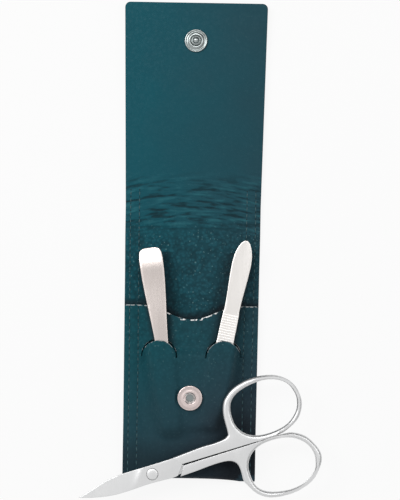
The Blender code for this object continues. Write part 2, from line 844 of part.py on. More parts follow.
# The pocket's press stud: a dished socket, its ring spring and its eyelet
socket_profile = [
    (socket_bore, socket_height - recess_depth),
    (recess_radius, socket_height - recess_depth),
    (recess_radius + socket_lip_edge, socket_height - socket_lip_drop),
    (recess_radius + socket_lip, socket_height - socket_lip_edge),
    (socket_radius - socket_dish, socket_height - socket_dish_drop),
    (socket_radius - socket_lip, socket_height - socket_edge_drop),
    (socket_radius, socket_height - socket_edge),
    (socket_radius, layer_gap),
    (socket_bore, layer_gap),
    (socket_bore, socket_height - recess_depth),
]
front_socket = turned("front_snap_socket", socket_profile, parts)
front_socket.location = (0, snap_y, snap_seat)
finish(front_socket, nickel)
spring_route = [(spring_radius * math.cos(turn), spring_radius * math.sin(turn),
                 socket_height - recess_depth + layer_gap + spring_wire)
                for turn in steps(math.radians(-150), math.radians(150), 16)]
front_spring = tube("front_snap_spring", spring_route, spring_wire)
front_spring.location = (0, snap_y, snap_seat)
finish(front_spring, steel, 70)
eyelet_top = 0
eyelet_low = -leather_thickness - layer_gap
eyelet_profile = [
    (socket_bore, eyelet_top), (eyelet_radius, eyelet_top),
    (eyelet_radius, eyelet_low), (eyelet_flange_radius, eyelet_low),
    (eyelet_flange_radius, eyelet_low - eyelet_flange_height),
    (socket_bore, eyelet_low - eyelet_flange_height), (socket_bore, eyelet_top),
]
front_eyelet = turned("front_snap_eyelet", eyelet_profile, parts)
front_eyelet.location = (0, snap_y, snap_seat)
finish(front_eyelet, nickel)

# Tweezers: two flat arms welded at the closed end
tweezers_axis = empty("tweezers_axis", (tweezers_top_x, tweezers_top_y, tool_bed),
                      None, 0.0, TWEEZERS_LEAN)
arm_rows = sorted(-share * tweezers_length for share, width in tweezers_width_shares)
arm_rows += [-weld_length] + [-share * tweezers_length for share in ARM_ROW_SHARES]
arm_rows.sort()


def back_arm_place(x, v, w):
    """The flat arm that lies on the divider's side."""
    side = 1 if w > 0 else 0
    return (x * tweezers_profile(-v) / tweezers_half_width, v, side * arm_thickness)


def front_arm_place(x, v, w):
    """The arm on the outer side, bowed away from the other."""
    side = 1 if w > 0 else 0
    low = arm_thickness + arm_lift(-v)
    return (x * tweezers_profile(-v) / tweezers_half_width, v,
            low + side * arm_thickness)


for arm_name, place in (("tweezers_back_arm", back_arm_place),
                        ("tweezers_front_arm", front_arm_place)):
    arm_columns = steps(-tweezers_half_width, tweezers_half_width, 2)
    arm = slab(arm_name, arm_columns, arm_rows, arm_thickness, parts, tweezers_axis)
    settle(arm)
    reshape(arm, place)
    finish(arm, steel, 30)

# Cuticle pusher: a flat bar, leaf-shaped above, with a ribbed grip
pusher_axis = empty("pusher_axis", (pusher_top_x, pusher_top_y, tool_bed),
                    None, 0.0, PUSHER_LEAN)
rib_end = rib_start + rib_pitch * RIBS
pusher_rows = [-share * pusher_length for share, width in pusher_width_shares
               if not rib_start < share * pusher_length < rib_end]
pusher_rows += [-rib_start - rib_pitch * n / 2 for n in range(RIBS * 2 + 1)]
pusher_rows.sort()


def pusher_place(x, v, w):
    """Flat below, a little crowned above, with ridges across the grip."""
    if w < 0:
        return (x * pusher_profile(-v) / pusher_half_width, v, 0)
    crown = pusher_thickness
    count = round((-v - rib_start) / (rib_pitch / 2))
    ribbed = 0 < count < RIBS * 2 and count % 2 == 1
    if ribbed:
        crown += rib_height
    return (x * pusher_profile(-v) / pusher_half_width, v, crown)


pusher_columns = steps(-pusher_half_width, pusher_half_width, 2)
pusher = slab("cuticle_pusher", pusher_columns, pusher_rows, pusher_thickness,
              parts, pusher_axis)
settle(pusher)
reshape(pusher, pusher_place)
finish(pusher, steel, 30)

# Nail scissors: each half is a thin blade plate joined to a thicker handle.
# They lie with the edge of the upper ring on the pocket, over the pusher's end.
along = ring_rest_share[0] * scissors_length
across = ring_rest_share[1] * scissors_length
pivot_x = ring_rest_x - along * math.cos(SCISSORS_TURN) + across * math.sin(SCISSORS_TURN)
pivot_y = ring_rest_y - along * math.sin(SCISSORS_TURN) - across * math.cos(SCISSORS_TURN)
scissors_axis = empty("scissors_axis", (pivot_x, pivot_y, scissors_bed), None,
                      0.0, SCISSORS_TURN)


def real_outline(shares):
    """Outline shares made real with the scissors' length."""
    return [(a * scissors_length, b * scissors_length) for a, b in shares]


def real_point(share):
    return (share[0] * scissors_length, share[1] * scissors_length)


def mirrored(shares):
    """The same outline on the other side of the scissors' axis."""
    return [(a, -b) for a, b in shares]


hole_loop = list(ring_hole_shares) + [ring_hole_shares[0]]
upper_hole = smooth_run(real_outline(hole_loop))[:-1]
lower_hole = smooth_run(real_outline(mirrored(hole_loop)))[:-1]

front_outline = smooth_run(real_outline(front_blade_top_shares))
front_outline += [real_point((tongue_share[0], front_blade_top_shares[-1][1])),
                  real_point(tongue_share), real_point(shoulder_share),
                  real_point(front_gap_share)]
front_outline += smooth_run(real_outline(front_blade_bottom_shares))[:-1]
blade_low = scissors_thickness / 2 + blade_gap / 2
front_blade = plate("front_blade_plate", [front_outline], blade_low,
                    scissors_thickness - shoulder_step, blade_edge, cutters,
                    scissors_axis)
upper_outline = smooth_run(real_outline(upper_handle_shares))
upper_outline += [real_point(shoulder_share)]
front_half = plate("scissors_front_half", [upper_outline, upper_hole], 0,
                   scissors_thickness, plate_edge, parts, scissors_axis)
cut(front_half, front_blade, "UNION")

back_outline = smooth_run(real_outline(back_blade_top_shares))
back_outline += [real_point(back_shoulder_share),
                 real_point(back_gap_share), real_point(back_tongue_share),
                 real_point((tongue_share[0], back_blade_bottom_shares[0][1]))]
back_outline += smooth_run(real_outline(back_blade_bottom_shares))[:-1]
back_blade = plate("back_blade_plate", [back_outline], shoulder_step,
                   scissors_thickness / 2 - blade_gap / 2, blade_edge, cutters,
                   scissors_axis)
lower_outline = smooth_run(real_outline(lower_handle_shares))
lower_outline += [real_point(back_gap_share)]
back_half = plate("scissors_back_half", [lower_outline, lower_hole], 0,
                  scissors_thickness, plate_edge, parts, scissors_axis)
cut(back_half, back_blade, "UNION")

# The pivot: a screw sunk in the front half and turning in the back half
head_low = scissors_thickness - shoulder_step - screw_head_height
cut(front_half, cylinder("screw_head_cutter", screw_head_radius + screw_clearance,
                         head_low - screw_clearance, scissors_thickness + overrun,
                         (0, 0), scissors_axis))
for half_name, half in (("front", front_half), ("back", back_half)):
    cut(half, cylinder(half_name + "_shank_cutter",
                       screw_shank_radius + screw_clearance, -overrun,
                       scissors_thickness, (0, 0), scissors_axis))
    settle(half)
    finish(half, steel, 35)
screw_top = scissors_thickness - shoulder_step
screw_profile = [
    (0, screw_top + screw_crown), (screw_head_radius / 2, screw_top + screw_dome),
    (screw_head_radius, screw_top), (screw_head_radius, head_low),
    (screw_shank_radius, head_low), (screw_shank_radius, shoulder_step),
    (0, shoulder_step),
]
pivot_screw = turned("scissors_pivot_screw", screw_profile, parts, scissors_axis)
finish(pivot_screw, steel)
for cutter in cutters.objects:
    cutter.hide_render = True
    cutter.display_type = "WIRE"
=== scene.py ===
"""Manicure set in a snap-closed leather case, lying open with its three tools.

The case lies on its flat back with the flap at +Y. The tools come first, since
the pocket's leather is shaped over them; then the case from its outer leather
to its stitches and press stud; then the table, the light and the camera.
"""
import math

import bmesh
import bpy
from mathutils import Matrix, Vector


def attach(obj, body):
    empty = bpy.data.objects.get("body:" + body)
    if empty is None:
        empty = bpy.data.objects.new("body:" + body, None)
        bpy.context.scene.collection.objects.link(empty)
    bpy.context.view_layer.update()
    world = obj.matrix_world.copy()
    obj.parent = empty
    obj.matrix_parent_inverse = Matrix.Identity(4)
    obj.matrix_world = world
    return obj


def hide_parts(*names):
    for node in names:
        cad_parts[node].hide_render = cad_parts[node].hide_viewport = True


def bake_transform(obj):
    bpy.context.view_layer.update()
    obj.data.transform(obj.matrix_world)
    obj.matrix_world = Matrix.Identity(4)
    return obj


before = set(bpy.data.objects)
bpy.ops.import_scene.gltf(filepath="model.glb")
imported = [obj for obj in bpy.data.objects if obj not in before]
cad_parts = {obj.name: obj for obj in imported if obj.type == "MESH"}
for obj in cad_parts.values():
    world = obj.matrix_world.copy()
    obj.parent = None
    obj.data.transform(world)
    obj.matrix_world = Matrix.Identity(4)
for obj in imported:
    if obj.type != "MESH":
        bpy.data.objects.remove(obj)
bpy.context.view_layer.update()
MM = 0.001
MERGE = 0.001 * MM

# ---------------------------------------------------------------------------
# Tweezers, standing in the left slot with the closed end up.
# Two flat arms pressed from stainless strip, ground to a satin finish and
# welded together at the closed end, which is rolled a little downward.
tool_bed = 7.65 * MM
tweezers_lean = math.radians(8.4)
tweezers_length = 66.0 * MM
tweezers_half_width = 4.4 * MM
tweezers_place = Matrix.Translation((-16.0 * MM, 41.6 * MM, tool_bed))
tweezers_place = tweezers_place @ Matrix.Rotation(tweezers_lean, 4, "Z")
arm_thickness = 0.7 * MM
arm_edge = 0.2 * MM
arm_crown = 0.12 * MM
arm_spread = 0.95 * MM
tip_spread = 0.55 * MM
closed_gap = 0.05 * MM
weld_length = 9.0 * MM
roll_length = 8.5 * MM
roll_slope = 0.13
tweezers_widths = (
    (0.0, 0.38), (0.0012, 0.52), (0.004, 0.64), (0.008, 0.75), (0.0135, 0.835),
    (0.021, 0.895), (0.033, 0.948), (0.055, 0.985), (0.085, 1.0),
    (0.175, 0.965), (0.29, 0.84), (0.51, 0.57), (0.75, 0.42), (0.94, 0.3),
    (1.0, 0.18),
)


def ease(share):
    """A soft step from 0 to 1."""
    share = min(max(share, 0.0), 1.0)
    return share * share * (3 - 2 * share)


def between(table, share):
    """Read a table of (place, value) with straight runs between its rows."""
    for (a, low), (b, high) in zip(table, table[1:]):
        if share <= b:
            return low + (high - low) * max(share - a, 0) / (b - a)
    return table[-1][1]


def steps(low, high, count):
    """Even places from low to high, both included."""
    return [low + (high - low) * n / count for n in range(count + 1)]


def smooth_run(points, pieces=3):
    """A smooth line through points, ending on the first and the last."""
    run = []
    ends = [points[0]] + list(points) + [points[-1]]
    for a, b, c, d in zip(ends, ends[1:], ends[2:], ends[3:]):
        for n in range(pieces):
            t = n / pieces
            run.append(tuple(
                b[i] + t * (c[i] - a[i]) / 2
                + t * t * (2 * a[i] - 5 * b[i] + 4 * c[i] - d[i]) / 2
                + t ** 3 * (3 * b[i] - a[i] - 3 * c[i] + d[i]) / 2
                for i in range(2)))
    run.append(tuple(points[-1]))
    return run


def strip_outline(widths, length, half_width):
    """The outline of a flat tool that is alike on both sides of its axis."""
    right = smooth_run([(half_width * w, -length * s) for s, w in widths])
    return right + [(-x, y) for x, y in reversed(right)]


def placed(name, data):
    """A new object of some data, in the scene."""
    made = bpy.data.objects.new(name, data)
    bpy.context.scene.collection.objects.link(made)
    return made


def taken(source, *helpers):
    """The finished mesh of an object, which leaves the scene with its helpers."""
    bpy.context.view_layer.update()
    graph = bpy.context.evaluated_depsgraph_get()
    mesh = bpy.data.meshes.new_from_object(source.evaluated_get(graph))
    for old in (source,) + helpers:
        bpy.data.objects.remove(old, do_unlink=True)
    shape = bmesh.new()
    shape.from_mesh(mesh)
    bmesh.ops.remove_doubles(shape, verts=shape.verts[:], dist=MERGE)
    return shape


def moved(shape, place):
    """Carry a whole shape to its place in the object."""
    bmesh.ops.transform(shape, verts=shape.verts[:], matrix=place)
    return shape


def corner(x, y, radius, turns):
    """The points of a round corner about its middle."""
    return [(x + radius * math.cos(turn), y + radius * math.sin(turn)) for turn in turns]


def real(rows):
    """A table of places in mm, made real."""
    return [(a * MM, b * MM) for a, b in rows]


def cut_sheet(outlines, low, high, edge, rounds=2):
    """A sheet cut to its outlines, with every rim rounded over."""
    curve = bpy.data.curves.new("outline", "CURVE")
    curve.dimensions = "2D"
    curve.fill_mode = "BOTH"
    curve.extrude = (high - low) / 2 - edge
    curve.bevel_depth = edge
    curve.bevel_resolution = rounds
    curve.render_resolution_u = 0
    curve.offset = -edge
    for points in outlines:
        spline = curve.splines.new("POLY")
        spline.points.add(len(points) - 1)
        for point, (x, y) in zip(spline.points, points):
            point.co = (x, y, 0, 1)
        spline.use_cyclic_u = True
    shape = taken(placed("outline", curve))
    bmesh.ops.recalc_face_normals(shape, faces=shape.faces[:])
    bmesh.ops.translate(shape, verts=shape.verts[:], vec=(0, 0, (low + high) / 2))
    return shape


def score(shape, axis, places):
    """Part a sheet's faces along straight lines, so that it bends there."""
    normal = Vector((0, 0, 0))
    normal[axis] = 1
    for place in places:
        bmesh.ops.bisect_plane(
            shape, geom=shape.verts[:] + shape.edges[:] + shape.faces[:],
            dist=0.0005 * MM, plane_co=normal * place, plane_no=normal)


def bend(shape, place, turns_over=False):
    """Carry every corner of a scored sheet to its place in the real shape."""
    bmesh.ops.triangulate(shape, faces=[f for f in shape.faces if len(f.verts) > 4])
    for vert in shape.verts:
        vert.co = place(*vert.co)
    if turns_over:
        bmesh.ops.reverse_faces(shape, faces=shape.faces[:])


def piece(name, shape, look, body=None, angle=38):
    """Make a finished shape a piece of the object, riding on its body."""
    mesh = bpy.data.meshes.new(name)
    shape.to_mesh(mesh)
    shape.free()
    mesh.materials.append(look)
    mesh.shade_smooth()
    mesh.set_sharp_from_angle(angle=math.radians(angle))
    made = placed(name, mesh)
    if body:
        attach(made, body)
    return made


def colour(code):
    """A surface colour written as sRGB hex, made linear."""
    parts = [int(code[n:n + 2], 16) / 255 for n in (0, 2, 4)]
    return tuple(((c + 0.055) / 1.055) ** 2.4 if c > 0.04045 else c / 12.92
                 for c in parts) + (1.0,)


def add(tree, kind, inputs, **settings):
    """Add a shader node with its settings, its values and its links."""
    node = tree.nodes.new("ShaderNode" + kind)
    for name, value in settings.items():
        setattr(node, name, value)
    for name, value in inputs.items():
        if isinstance(value, bpy.types.NodeSocket):
            tree.links.new(value, node.inputs[name])
        else:
            node.inputs[name].default_value = value
    return node


def value(tree, kind, *numbers, **settings):
    """The first output of a node whose inputs are given in their order."""
    return add(tree, kind, dict(enumerate(numbers)), **settings).outputs[0]


def noise(tree, vector, scale, detail=2.0):
    """A noise texture over some coordinates."""
    return add(tree, "TexNoise", {"Vector": vector, "Scale": scale,
                                  "Detail": detail}).outputs


def blend_tones(tree, share, under, over):
    """One colour laid over another by a share."""
    return add(tree, "Mix", {0: share, 6: under, 7: over},
               data_type="RGBA").outputs[2]


def blend_values(tree, share, under, over):
    """One number laid over another by a share."""
    return add(tree, "Mix", {0: share, 2: under, 3: over},
               data_type="FLOAT").outputs[0]


def relief(tree, height, strength, depth):
    """A bump of some strength and depth from a height."""
    return add(tree, "Bump", {"Strength": strength, "Distance": depth,
                              "Height": height}).outputs[0]


def new_look(name):
    """An empty material: its node tree, shader and place on the object."""
    look = bpy.data.materials.new(name)
    look.use_nodes = True
    tree = look.node_tree
    place = add(tree, "TexCoord", {}).outputs["Object"]
    return look, tree, tree.nodes["Principled BSDF"], place


def wire_up(tree, shader, **sockets):
    """Link values to the shader's sockets, named with _ for each space."""
    for name, source in sockets.items():
        tree.links.new(source, shader.inputs[name.replace("_", " ")])


def brushed_steel(name, tint, shade, rough, turn):
    """Satin-ground stainless steel: fine grinding lines along the tool."""
    look, tree, shader, place = new_look(name)
    # grinding lines 0.12 mm apart are too fine to show one by one, so that
    # they are drawn 0.4 mm wide and 12 mm long
    along = add(tree, "Mapping", {"Vector": place, "Rotation": (0, 0, -turn),
                                  "Scale": (2500, 80, 2500)}).outputs[0]
    lines = noise(tree, along, 1.0)[0]
    clouds = noise(tree, place, 90.0, 3.0)[0]
    wire_up(tree, shader,
            Base_Color=blend_tones(tree, clouds, colour(tint), colour(shade)),
            Roughness=value(tree, "MapRange", lines, 0.3, 0.7, rough - 0.012,
                            rough + 0.012),
            Normal=relief(tree, lines, 0.1, 0.0015 * MM))
    shader.inputs["Metallic"].default_value = 1.0
    return look


def tweezers_profile(down):
    """Half width of the tweezers at a distance down from the closed end."""
    return tweezers_half_width * between(tweezers_widths, down / tweezers_length)


def arm_lift(down):
    """Height of the front arm's inner face over the back arm's outer face."""
    middle = tweezers_length / 2
    if down <= weld_length:
        return closed_gap
    if down <= middle:
        share = ease((down - weld_length) / (middle - weld_length))
        return closed_gap + (arm_spread - closed_gap) * share
    share = ease((down - middle) / (tweezers_length - middle))
    return arm_spread + (tip_spread - arm_spread) * share


def roll(down):
    """How far the closed end is rolled down below the flat of the arms."""
    flat = 5.0 * MM
    past = min(max(down - flat, 0), roll_length - flat)
    level = past - past ** 2 / (2 * (roll_length - flat))
    return -roll_slope * ((roll_length - flat) / 2 + max(flat - down, 0) - level)


warm_steel = brushed_steel("satin_stainless_steel", "d9d0cc", "cfc5c0", 0.27,
                           tweezers_lean)


def tweezers_arm(name, front, body):
    """One arm, cut from strip, eased at its edges and bowed."""
    shape = cut_sheet([strip_outline(tweezers_widths, tweezers_length,
                                     tweezers_half_width)], 0, arm_thickness, arm_edge)
    score(shape, 1, [-tweezers_length * n / 48 for n in range(1, 48)])
    score(shape, 0, [tweezers_half_width * n / 4 for n in range(-3, 4)])

    def place(x, y, z):
        across = x / max(tweezers_profile(-y), arm_edge)
        level = z + roll(-y)
        if front:
            level += arm_thickness + arm_lift(-y) + arm_crown * (1 - across ** 2)
        return tweezers_place @ Vector((x, y, level))

    bend(shape, place)
    return piece(name, shape, warm_steel, body)


back_arm = tweezers_arm("tweezers_arm_back", False, "tweezers")
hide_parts("tweezers_back_arm")
front_arm = tweezers_arm("tweezers_arm_front", True, "tweezers_arm")
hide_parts("tweezers_front_arm")

# ---------------------------------------------------------------------------
# Cuticle pusher, standing in the right slot with its leaf-shaped end up.
# A flat bar of bright stainless steel, ground thin and rounded at the end, with
# fine ridges rolled across the grip below the shoulder.
pusher_lean = math.radians(-11.0)
pusher_length = 69.0 * MM
pusher_half_width = 3.55 * MM
pusher_place = Matrix.Translation((20.1 * MM, 44.8 * MM, tool_bed))
pusher_place = pusher_place @ Matrix.Rotation(pusher_lean, 4, "Z")
pusher_thickness = 1.0 * MM
pusher_edge = 0.28 * MM
rib_pitch = 0.95 * MM
rib_height = 0.05 * MM
rib_start = 28.2 * MM
RIBS = 20
pusher_widths = (
    (0.0, 0.14), (0.01, 0.36), (0.025, 0.56), (0.065, 0.85), (0.12, 1.0),
    (0.2, 0.975), (0.31, 0.85), (0.385, 0.815), (0.41, 0.86), (0.56, 0.9),
    (0.84, 0.9), (0.92, 0.7), (1.0, 0.24),
)


def pusher_profile(down):
    """Half width of the pusher at a distance down from its leaf-shaped end."""
    return pusher_half_width * between(pusher_widths, down / pusher_length)


def pusher_bar_place(x, y, z):
    """Ridges across the grip, and a shallow dish in the leaf-shaped end."""
    down = -y
    if z > pusher_thickness / 2:
        turns = (down - rib_start) / rib_pitch
        if 0 < turns < RIBS:
            z += rib_height * (0.5 - 0.5 * math.cos(turns * 2 * math.pi))
        across = abs(x) / max(pusher_profile(down), pusher_edge)
        leaf = ease(1 - down / (rib_start - rib_pitch))
        z -= 0.16 * MM * leaf * (1 - min(across, 1) ** 2)
    return pusher_place @ Vector((x, y, z))


bright_steel = brushed_steel("bright_stainless_steel", "f4f1ee", "ebe7e3", 0.3,
                             pusher_lean)
shape = cut_sheet([strip_outline(pusher_widths, pusher_length, pusher_half_width)],
                  0, pusher_thickness, pusher_edge)
score(shape, 1, [-rib_start * n / 20 for n in range(1, 20)])
score(shape, 1, [-rib_start - rib_pitch * n / 6 for n in range(RIBS * 6 + 1)])
score(shape, 0, [pusher_half_width * n / 4 for n in range(-3, 4)])
bend(shape, pusher_bar_place)
pusher = piece("cuticle_pusher_bar", shape, bright_steel, "pusher", 60)
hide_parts("cuticle_pusher")

# ---------------------------------------------------------------------------
# Nail scissors, lying closed over the lower right corner of the case.
# Each half is drop-forged from stainless steel: a thin ground blade and a
# thicker handle with a finger ring, polished satin, its edges rounded.
scissors_length = 90.8 * MM
scissors_bed = 9.8 * MM
scissors_thickness = 2.4 * MM
shoulder_step = 0.1 * MM
blade_gap = 0.1 * MM
ring_round = 1.18 * MM
slit_round = 0.14 * MM
blade_round = 0.16 * MM
scissors_turn = math.radians(18.5)
scissors_place = Matrix.Translation((-13.4 * MM, -42.3 * MM, scissors_bed))
scissors_place = scissors_place @ Matrix.Rotation(scissors_turn, 4, "Z")
# Outlines as shares of the length: first along the axis from the pivot toward
# the rings, then across it toward the upper ring
front_blade_top = (
    (-0.3167, -0.0017), (-0.285, 0.0055), (-0.2389, 0.0175),
    (-0.2022, 0.0278), (-0.1544, 0.0352), (-0.1144, 0.0378),
    (-0.04, 0.0372), (0.04, 0.0367), (0.0955, 0.0367),
)
front_blade_bottom = (
    (0.0985, -0.0372), (0.0722, -0.0395), (0.02, -0.0362),
    (-0.0367, -0.0344), (-0.1189, -0.0367), (-0.1889, -0.0333),
    (-0.25, -0.0215), (-0.295, -0.009), (-0.3167, -0.0017),
)
back_blade_top = (
    (-0.308, -0.0022), (-0.2389, 0.0135), (-0.2, 0.0235),
    (-0.1544, 0.0312), (-0.1144, 0.0335), (-0.04, 0.034),
    (0.04, 0.034), (0.0905, 0.034),
)
back_blade_bottom = (
    (0.118, -0.035), (0.0722, -0.0355), (0.02, -0.0322),
    (-0.0367, -0.0305), (-0.1189, -0.0325), (-0.1889, -0.0295),
    (-0.25, -0.0185), (-0.308, -0.0022),
)
upper_handle = (
    (0.35, 0.0), (0.45, -0.0011), (0.5333, -0.0011), (0.57, 0.0033),
    (0.6267, 0.0294), (0.6567, 0.0633), (0.6722, 0.1067),
    (0.6656, 0.1656), (0.6356, 0.21), (0.5878, 0.2389),
    (0.5256, 0.2511), (0.4689, 0.25), (0.4111, 0.2322),
    (0.3711, 0.2022), (0.3544, 0.1722), (0.3467, 0.14),
    (0.3445, 0.105), (0.3433, 0.075), (0.3389, 0.0578),
    (0.3178, 0.0478), (0.28, 0.0444), (0.2311, 0.0456),
    (0.1822, 0.0433), (0.14, 0.0405), (0.099, 0.0383),
)
lower_handle = (
    (0.106, -0.0439), (0.14, -0.0428), (0.18, -0.0417),
    (0.2544, -0.0378), (0.3111, -0.0417), (0.34, -0.06),
    (0.3478, -0.0922), (0.3467, -0.1378), (0.3567, -0.1611),
    (0.3822, -0.2044), (0.4289, -0.2367), (0.5, -0.2478),
    (0.5678, -0.2411), (0.6289, -0.2111), (0.6678, -0.1711),
    (0.6822, -0.1322), (0.6722, -0.09), (0.6433, -0.0411),
    (0.5967, -0.0105), (0.5489, -0.0044), (0.45, -0.0044), (0.35, -0.0044),
)
ring_hole = (
    (0.38, 0.1022), (0.39, 0.0711), (0.4167, 0.04), (0.4622, 0.0194),
    (0.5289, 0.0167), (0.59, 0.0311), (0.6322, 0.0644),
    (0.6510, 0.1), (0.6540, 0.14), (0.635, 0.188), (0.5867, 0.22),
    (0.5189, 0.23), (0.4444, 0.2167), (0.4, 0.19), (0.3822, 0.1511),
    (0.38, 0.1022),
)
shoulder = (0.13, 0.0025)
front_gap = (0.1267, -0.0015)
back_shoulder = (0.125, 0.0)
back_gap = (0.1335, -0.0044)


def real_outline(shares, flip=1):
    """Outline shares made real with the scissors' length."""
    return [(a * scissors_length, b * flip * scissors_length) for a, b in shares]


def forged(outlines, low, high, rounding):
    """A forged bar cut to its outlines, its rims rounded by rounding(x, y)."""
    shape = bmesh.new()
    turns = steps(0, math.pi / 2, 5)
    for number, points in enumerate(outlines):
        area = sum(a[0] * b[1] - b[0] * a[1]
                   for a, b in zip(points, points[1:] + points[:1]))
        if (area > 0) == (number > 0):
            points = points[::-1]
        rims = []
        for before, here, after in zip(points[-1:] + points[:-1], points,
                                       points[1:] + points[:1]):
            first = (Vector(here) - Vector(before)).normalized()
            second = (Vector(after) - Vector(here)).normalized()
            inward = Vector((-first.y - second.y, first.x + second.x)).normalized()
            inward /= max(inward.dot(Vector((-first.y, first.x))), 0.6)
            rims.append((Vector(here), inward, rounding(*here)))
        levels = [(1 - math.sin(turn), low, 1 - math.cos(turn)) for turn in turns]
        levels += [(1 - math.sin(turn), high, math.cos(turn) - 1) for turn in turns[::-1]]
        rows = []
        for inset, level, rise_share in levels:
            rows.append([shape.verts.new((*(point + inward * inset * size),
                                          level + rise_share * size))
                         for point, inward, size in rims])
        for lower, upper in zip(rows, rows[1:]):
            for n in range(len(lower)):
                shape.faces.new((lower[n - 1], lower[n], upper[n], upper[n - 1]))
    for level in (low, high):
        rim = [e for e in shape.edges if len(e.link_faces) == 1
               and abs(e.verts[0].co.z - level) < MERGE]
        bmesh.ops.triangle_fill(shape, edges=rim, use_beauty=True,
                                use_dissolve=False, normal=(0, 0, 1))
    bmesh.ops.recalc_face_normals(shape, faces=shape.faces[:])
    return shape


def worked(shape, blade, cutters):
    """Join a forged bar's blade to it and drill it."""
    blanks = []
    for tool in [shape, blade] + cutters:
        mesh = bpy.data.meshes.new("blank")
        tool.to_mesh(mesh)
        tool.free()
        blanks.append(placed("blank", mesh))
    for number, helper in enumerate(blanks[1:]):
        cut = blanks[0].modifiers.new("cut", "BOOLEAN")
        cut.operation = "DIFFERENCE" if number else "UNION"
        cut.solver = "EXACT"
        cut.object = helper
    return taken(*blanks)


def handle_rounding(x, y):
    """Full round on the rings and backs, a fine edge along the slit."""
    near_slit = 1 - ease((abs(y) - 0.6 * MM) / (2.2 * MM))
    inner = x < 0.545 * scissors_length and abs(y) < 1.2 * MM
    shaft = ease((x - 0.3 * scissors_length) / (0.06 * scissors_length))
    back = 0.45 * MM + (ring_round - 0.45 * MM) * shaft
    return slit_round if inner else back + (slit_round - back) * near_slit * (1 - shaft)


def drill(radius, low, high):
    """A round cutter standing on the pivot."""
    shape = bmesh.new()
    bmesh.ops.create_cone(shape, cap_ends=True, segments=48, radius1=radius,
                          radius2=radius, depth=high - low)
    bmesh.ops.translate(shape, verts=shape.verts[:], vec=(0, 0, (low + high) / 2))
    return shape


screw_radius = 2.1 * MM
screw_crown = 0.32 * MM
screw_gap = 0.13 * MM
blade_low = scissors_thickness / 2 + blade_gap / 2
blade_high = scissors_thickness - shoulder_step
hollow_depth = 0.42 * MM
hollow_top_x = -3.2 * MM
hollow_slope = 0.74


def hollow(x, y, z):
    """Hollow grinding of the front blade, left of the flat round the screw."""
    if z < (blade_low + blade_high) / 2:
        return z
    line = hollow_top_x + (y - 3.3 * MM) * hollow_slope
    into = line - x
    if into <= 0:
        return z
    share = min(max((y + 3.4 * MM) / (6.8 * MM), 0), 1)
    return z - hollow_depth * share * (1 - math.exp(-into / (1.1 * MM)))


def scissors_half(name, blade_outline, blade_span, handle_outline, hole, body, ground):
    """One half: its ground blade joined to its handle and drilled."""
    blade = cut_sheet([blade_outline], *blade_span, blade_round)
    if ground:
        score(blade, 0, [n * 0.7 * MM for n in range(-41, 0)])
        score(blade, 1, [n * 0.8 * MM for n in range(-4, 5)])
        bend(blade, lambda x, y, z: (x, y, hollow(x, y, z)))
    handle = forged([handle_outline, hole], 0, scissors_thickness, handle_rounding)
    cutters = [drill(screw_radius + screw_gap, blade_low + 0.3 * MM, 5 * MM),
               drill(1.4 * MM, -MM, 5 * MM)]
    shape = moved(worked(handle, blade, cutters), scissors_place)
    return piece(name, shape, satin_steel, body, 30)


satin_steel = brushed_steel("satin_forged_steel", "dadada", "cecfd0", 0.38,
                            scissors_turn + math.pi / 2)
upper_hole = smooth_run(real_outline(ring_hole))[:-1]
lower_hole = smooth_run(real_outline(ring_hole, -1))[:-1]
front_outline = smooth_run(real_outline(front_blade_top))
front_outline += real_outline([(0.158, 0.0367), (0.158, 0.006), shoulder, front_gap])
front_outline += smooth_run(real_outline(front_blade_bottom))[:-1]
upper_outline = smooth_run(real_outline(upper_handle)) + real_outline([shoulder])
front_half = scissors_half(
    "scissors_half_front", front_outline, (blade_low, blade_high), upper_outline,
    upper_hole, "scissors", True)
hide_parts("scissors_front_half")
back_outline = smooth_run(real_outline(back_blade_top))
back_outline += real_outline([back_shoulder, back_gap, (0.158, -0.01),
                              (0.158, -0.035)])
back_outline += smooth_run(real_outline(back_blade_bottom))[:-1]
lower_outline = smooth_run(real_outline(lower_handle)) + real_outline([back_gap])
back_half = scissors_half(
    "scissors_half_back", back_outline,
    (shoulder_step, scissors_thickness / 2 - blade_gap / 2), lower_outline,
    lower_hole, "scissors_back", False)
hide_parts("scissors_back_half")


def turned(profile, rounds=64):
    """A turned piece: its profile at +X spun once round the z axis."""
    shape = bmesh.new()
    verts = [shape.verts.new((x, 0, z)) for x, z in profile]
    edges = [shape.edges.new(pair) for pair in zip(verts, verts[1:])]
    bmesh.ops.spin(shape, geom=verts + edges, cent=(0, 0, 0), axis=(0, 0, 1),
                   angle=2 * math.pi, steps=rounds, use_merge=True)
    bmesh.ops.remove_doubles(shape, verts=shape.verts[:], dist=MERGE)
    bmesh.ops.recalc_face_normals(shape, faces=shape.faces[:])
    return shape


# The pivot screw: a domed head sunk in the front half
screw_profile = [(screw_radius * math.sin(turn),
                  blade_high - 0.1 * MM + screw_crown * math.cos(turn))
                 for turn in steps(0, math.pi / 2, 8)]
screw_profile += [(screw_radius, blade_low + 0.45 * MM), (1.3 * MM, blade_low + 0.45 * MM),
                  (1.3 * MM, shoulder_step), (0, shoulder_step)]
shape = moved(turned(screw_profile), scissors_place)
screw = piece("scissors_screw", shape, satin_steel, "scissors", 45)
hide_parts("scissors_pivot_screw")

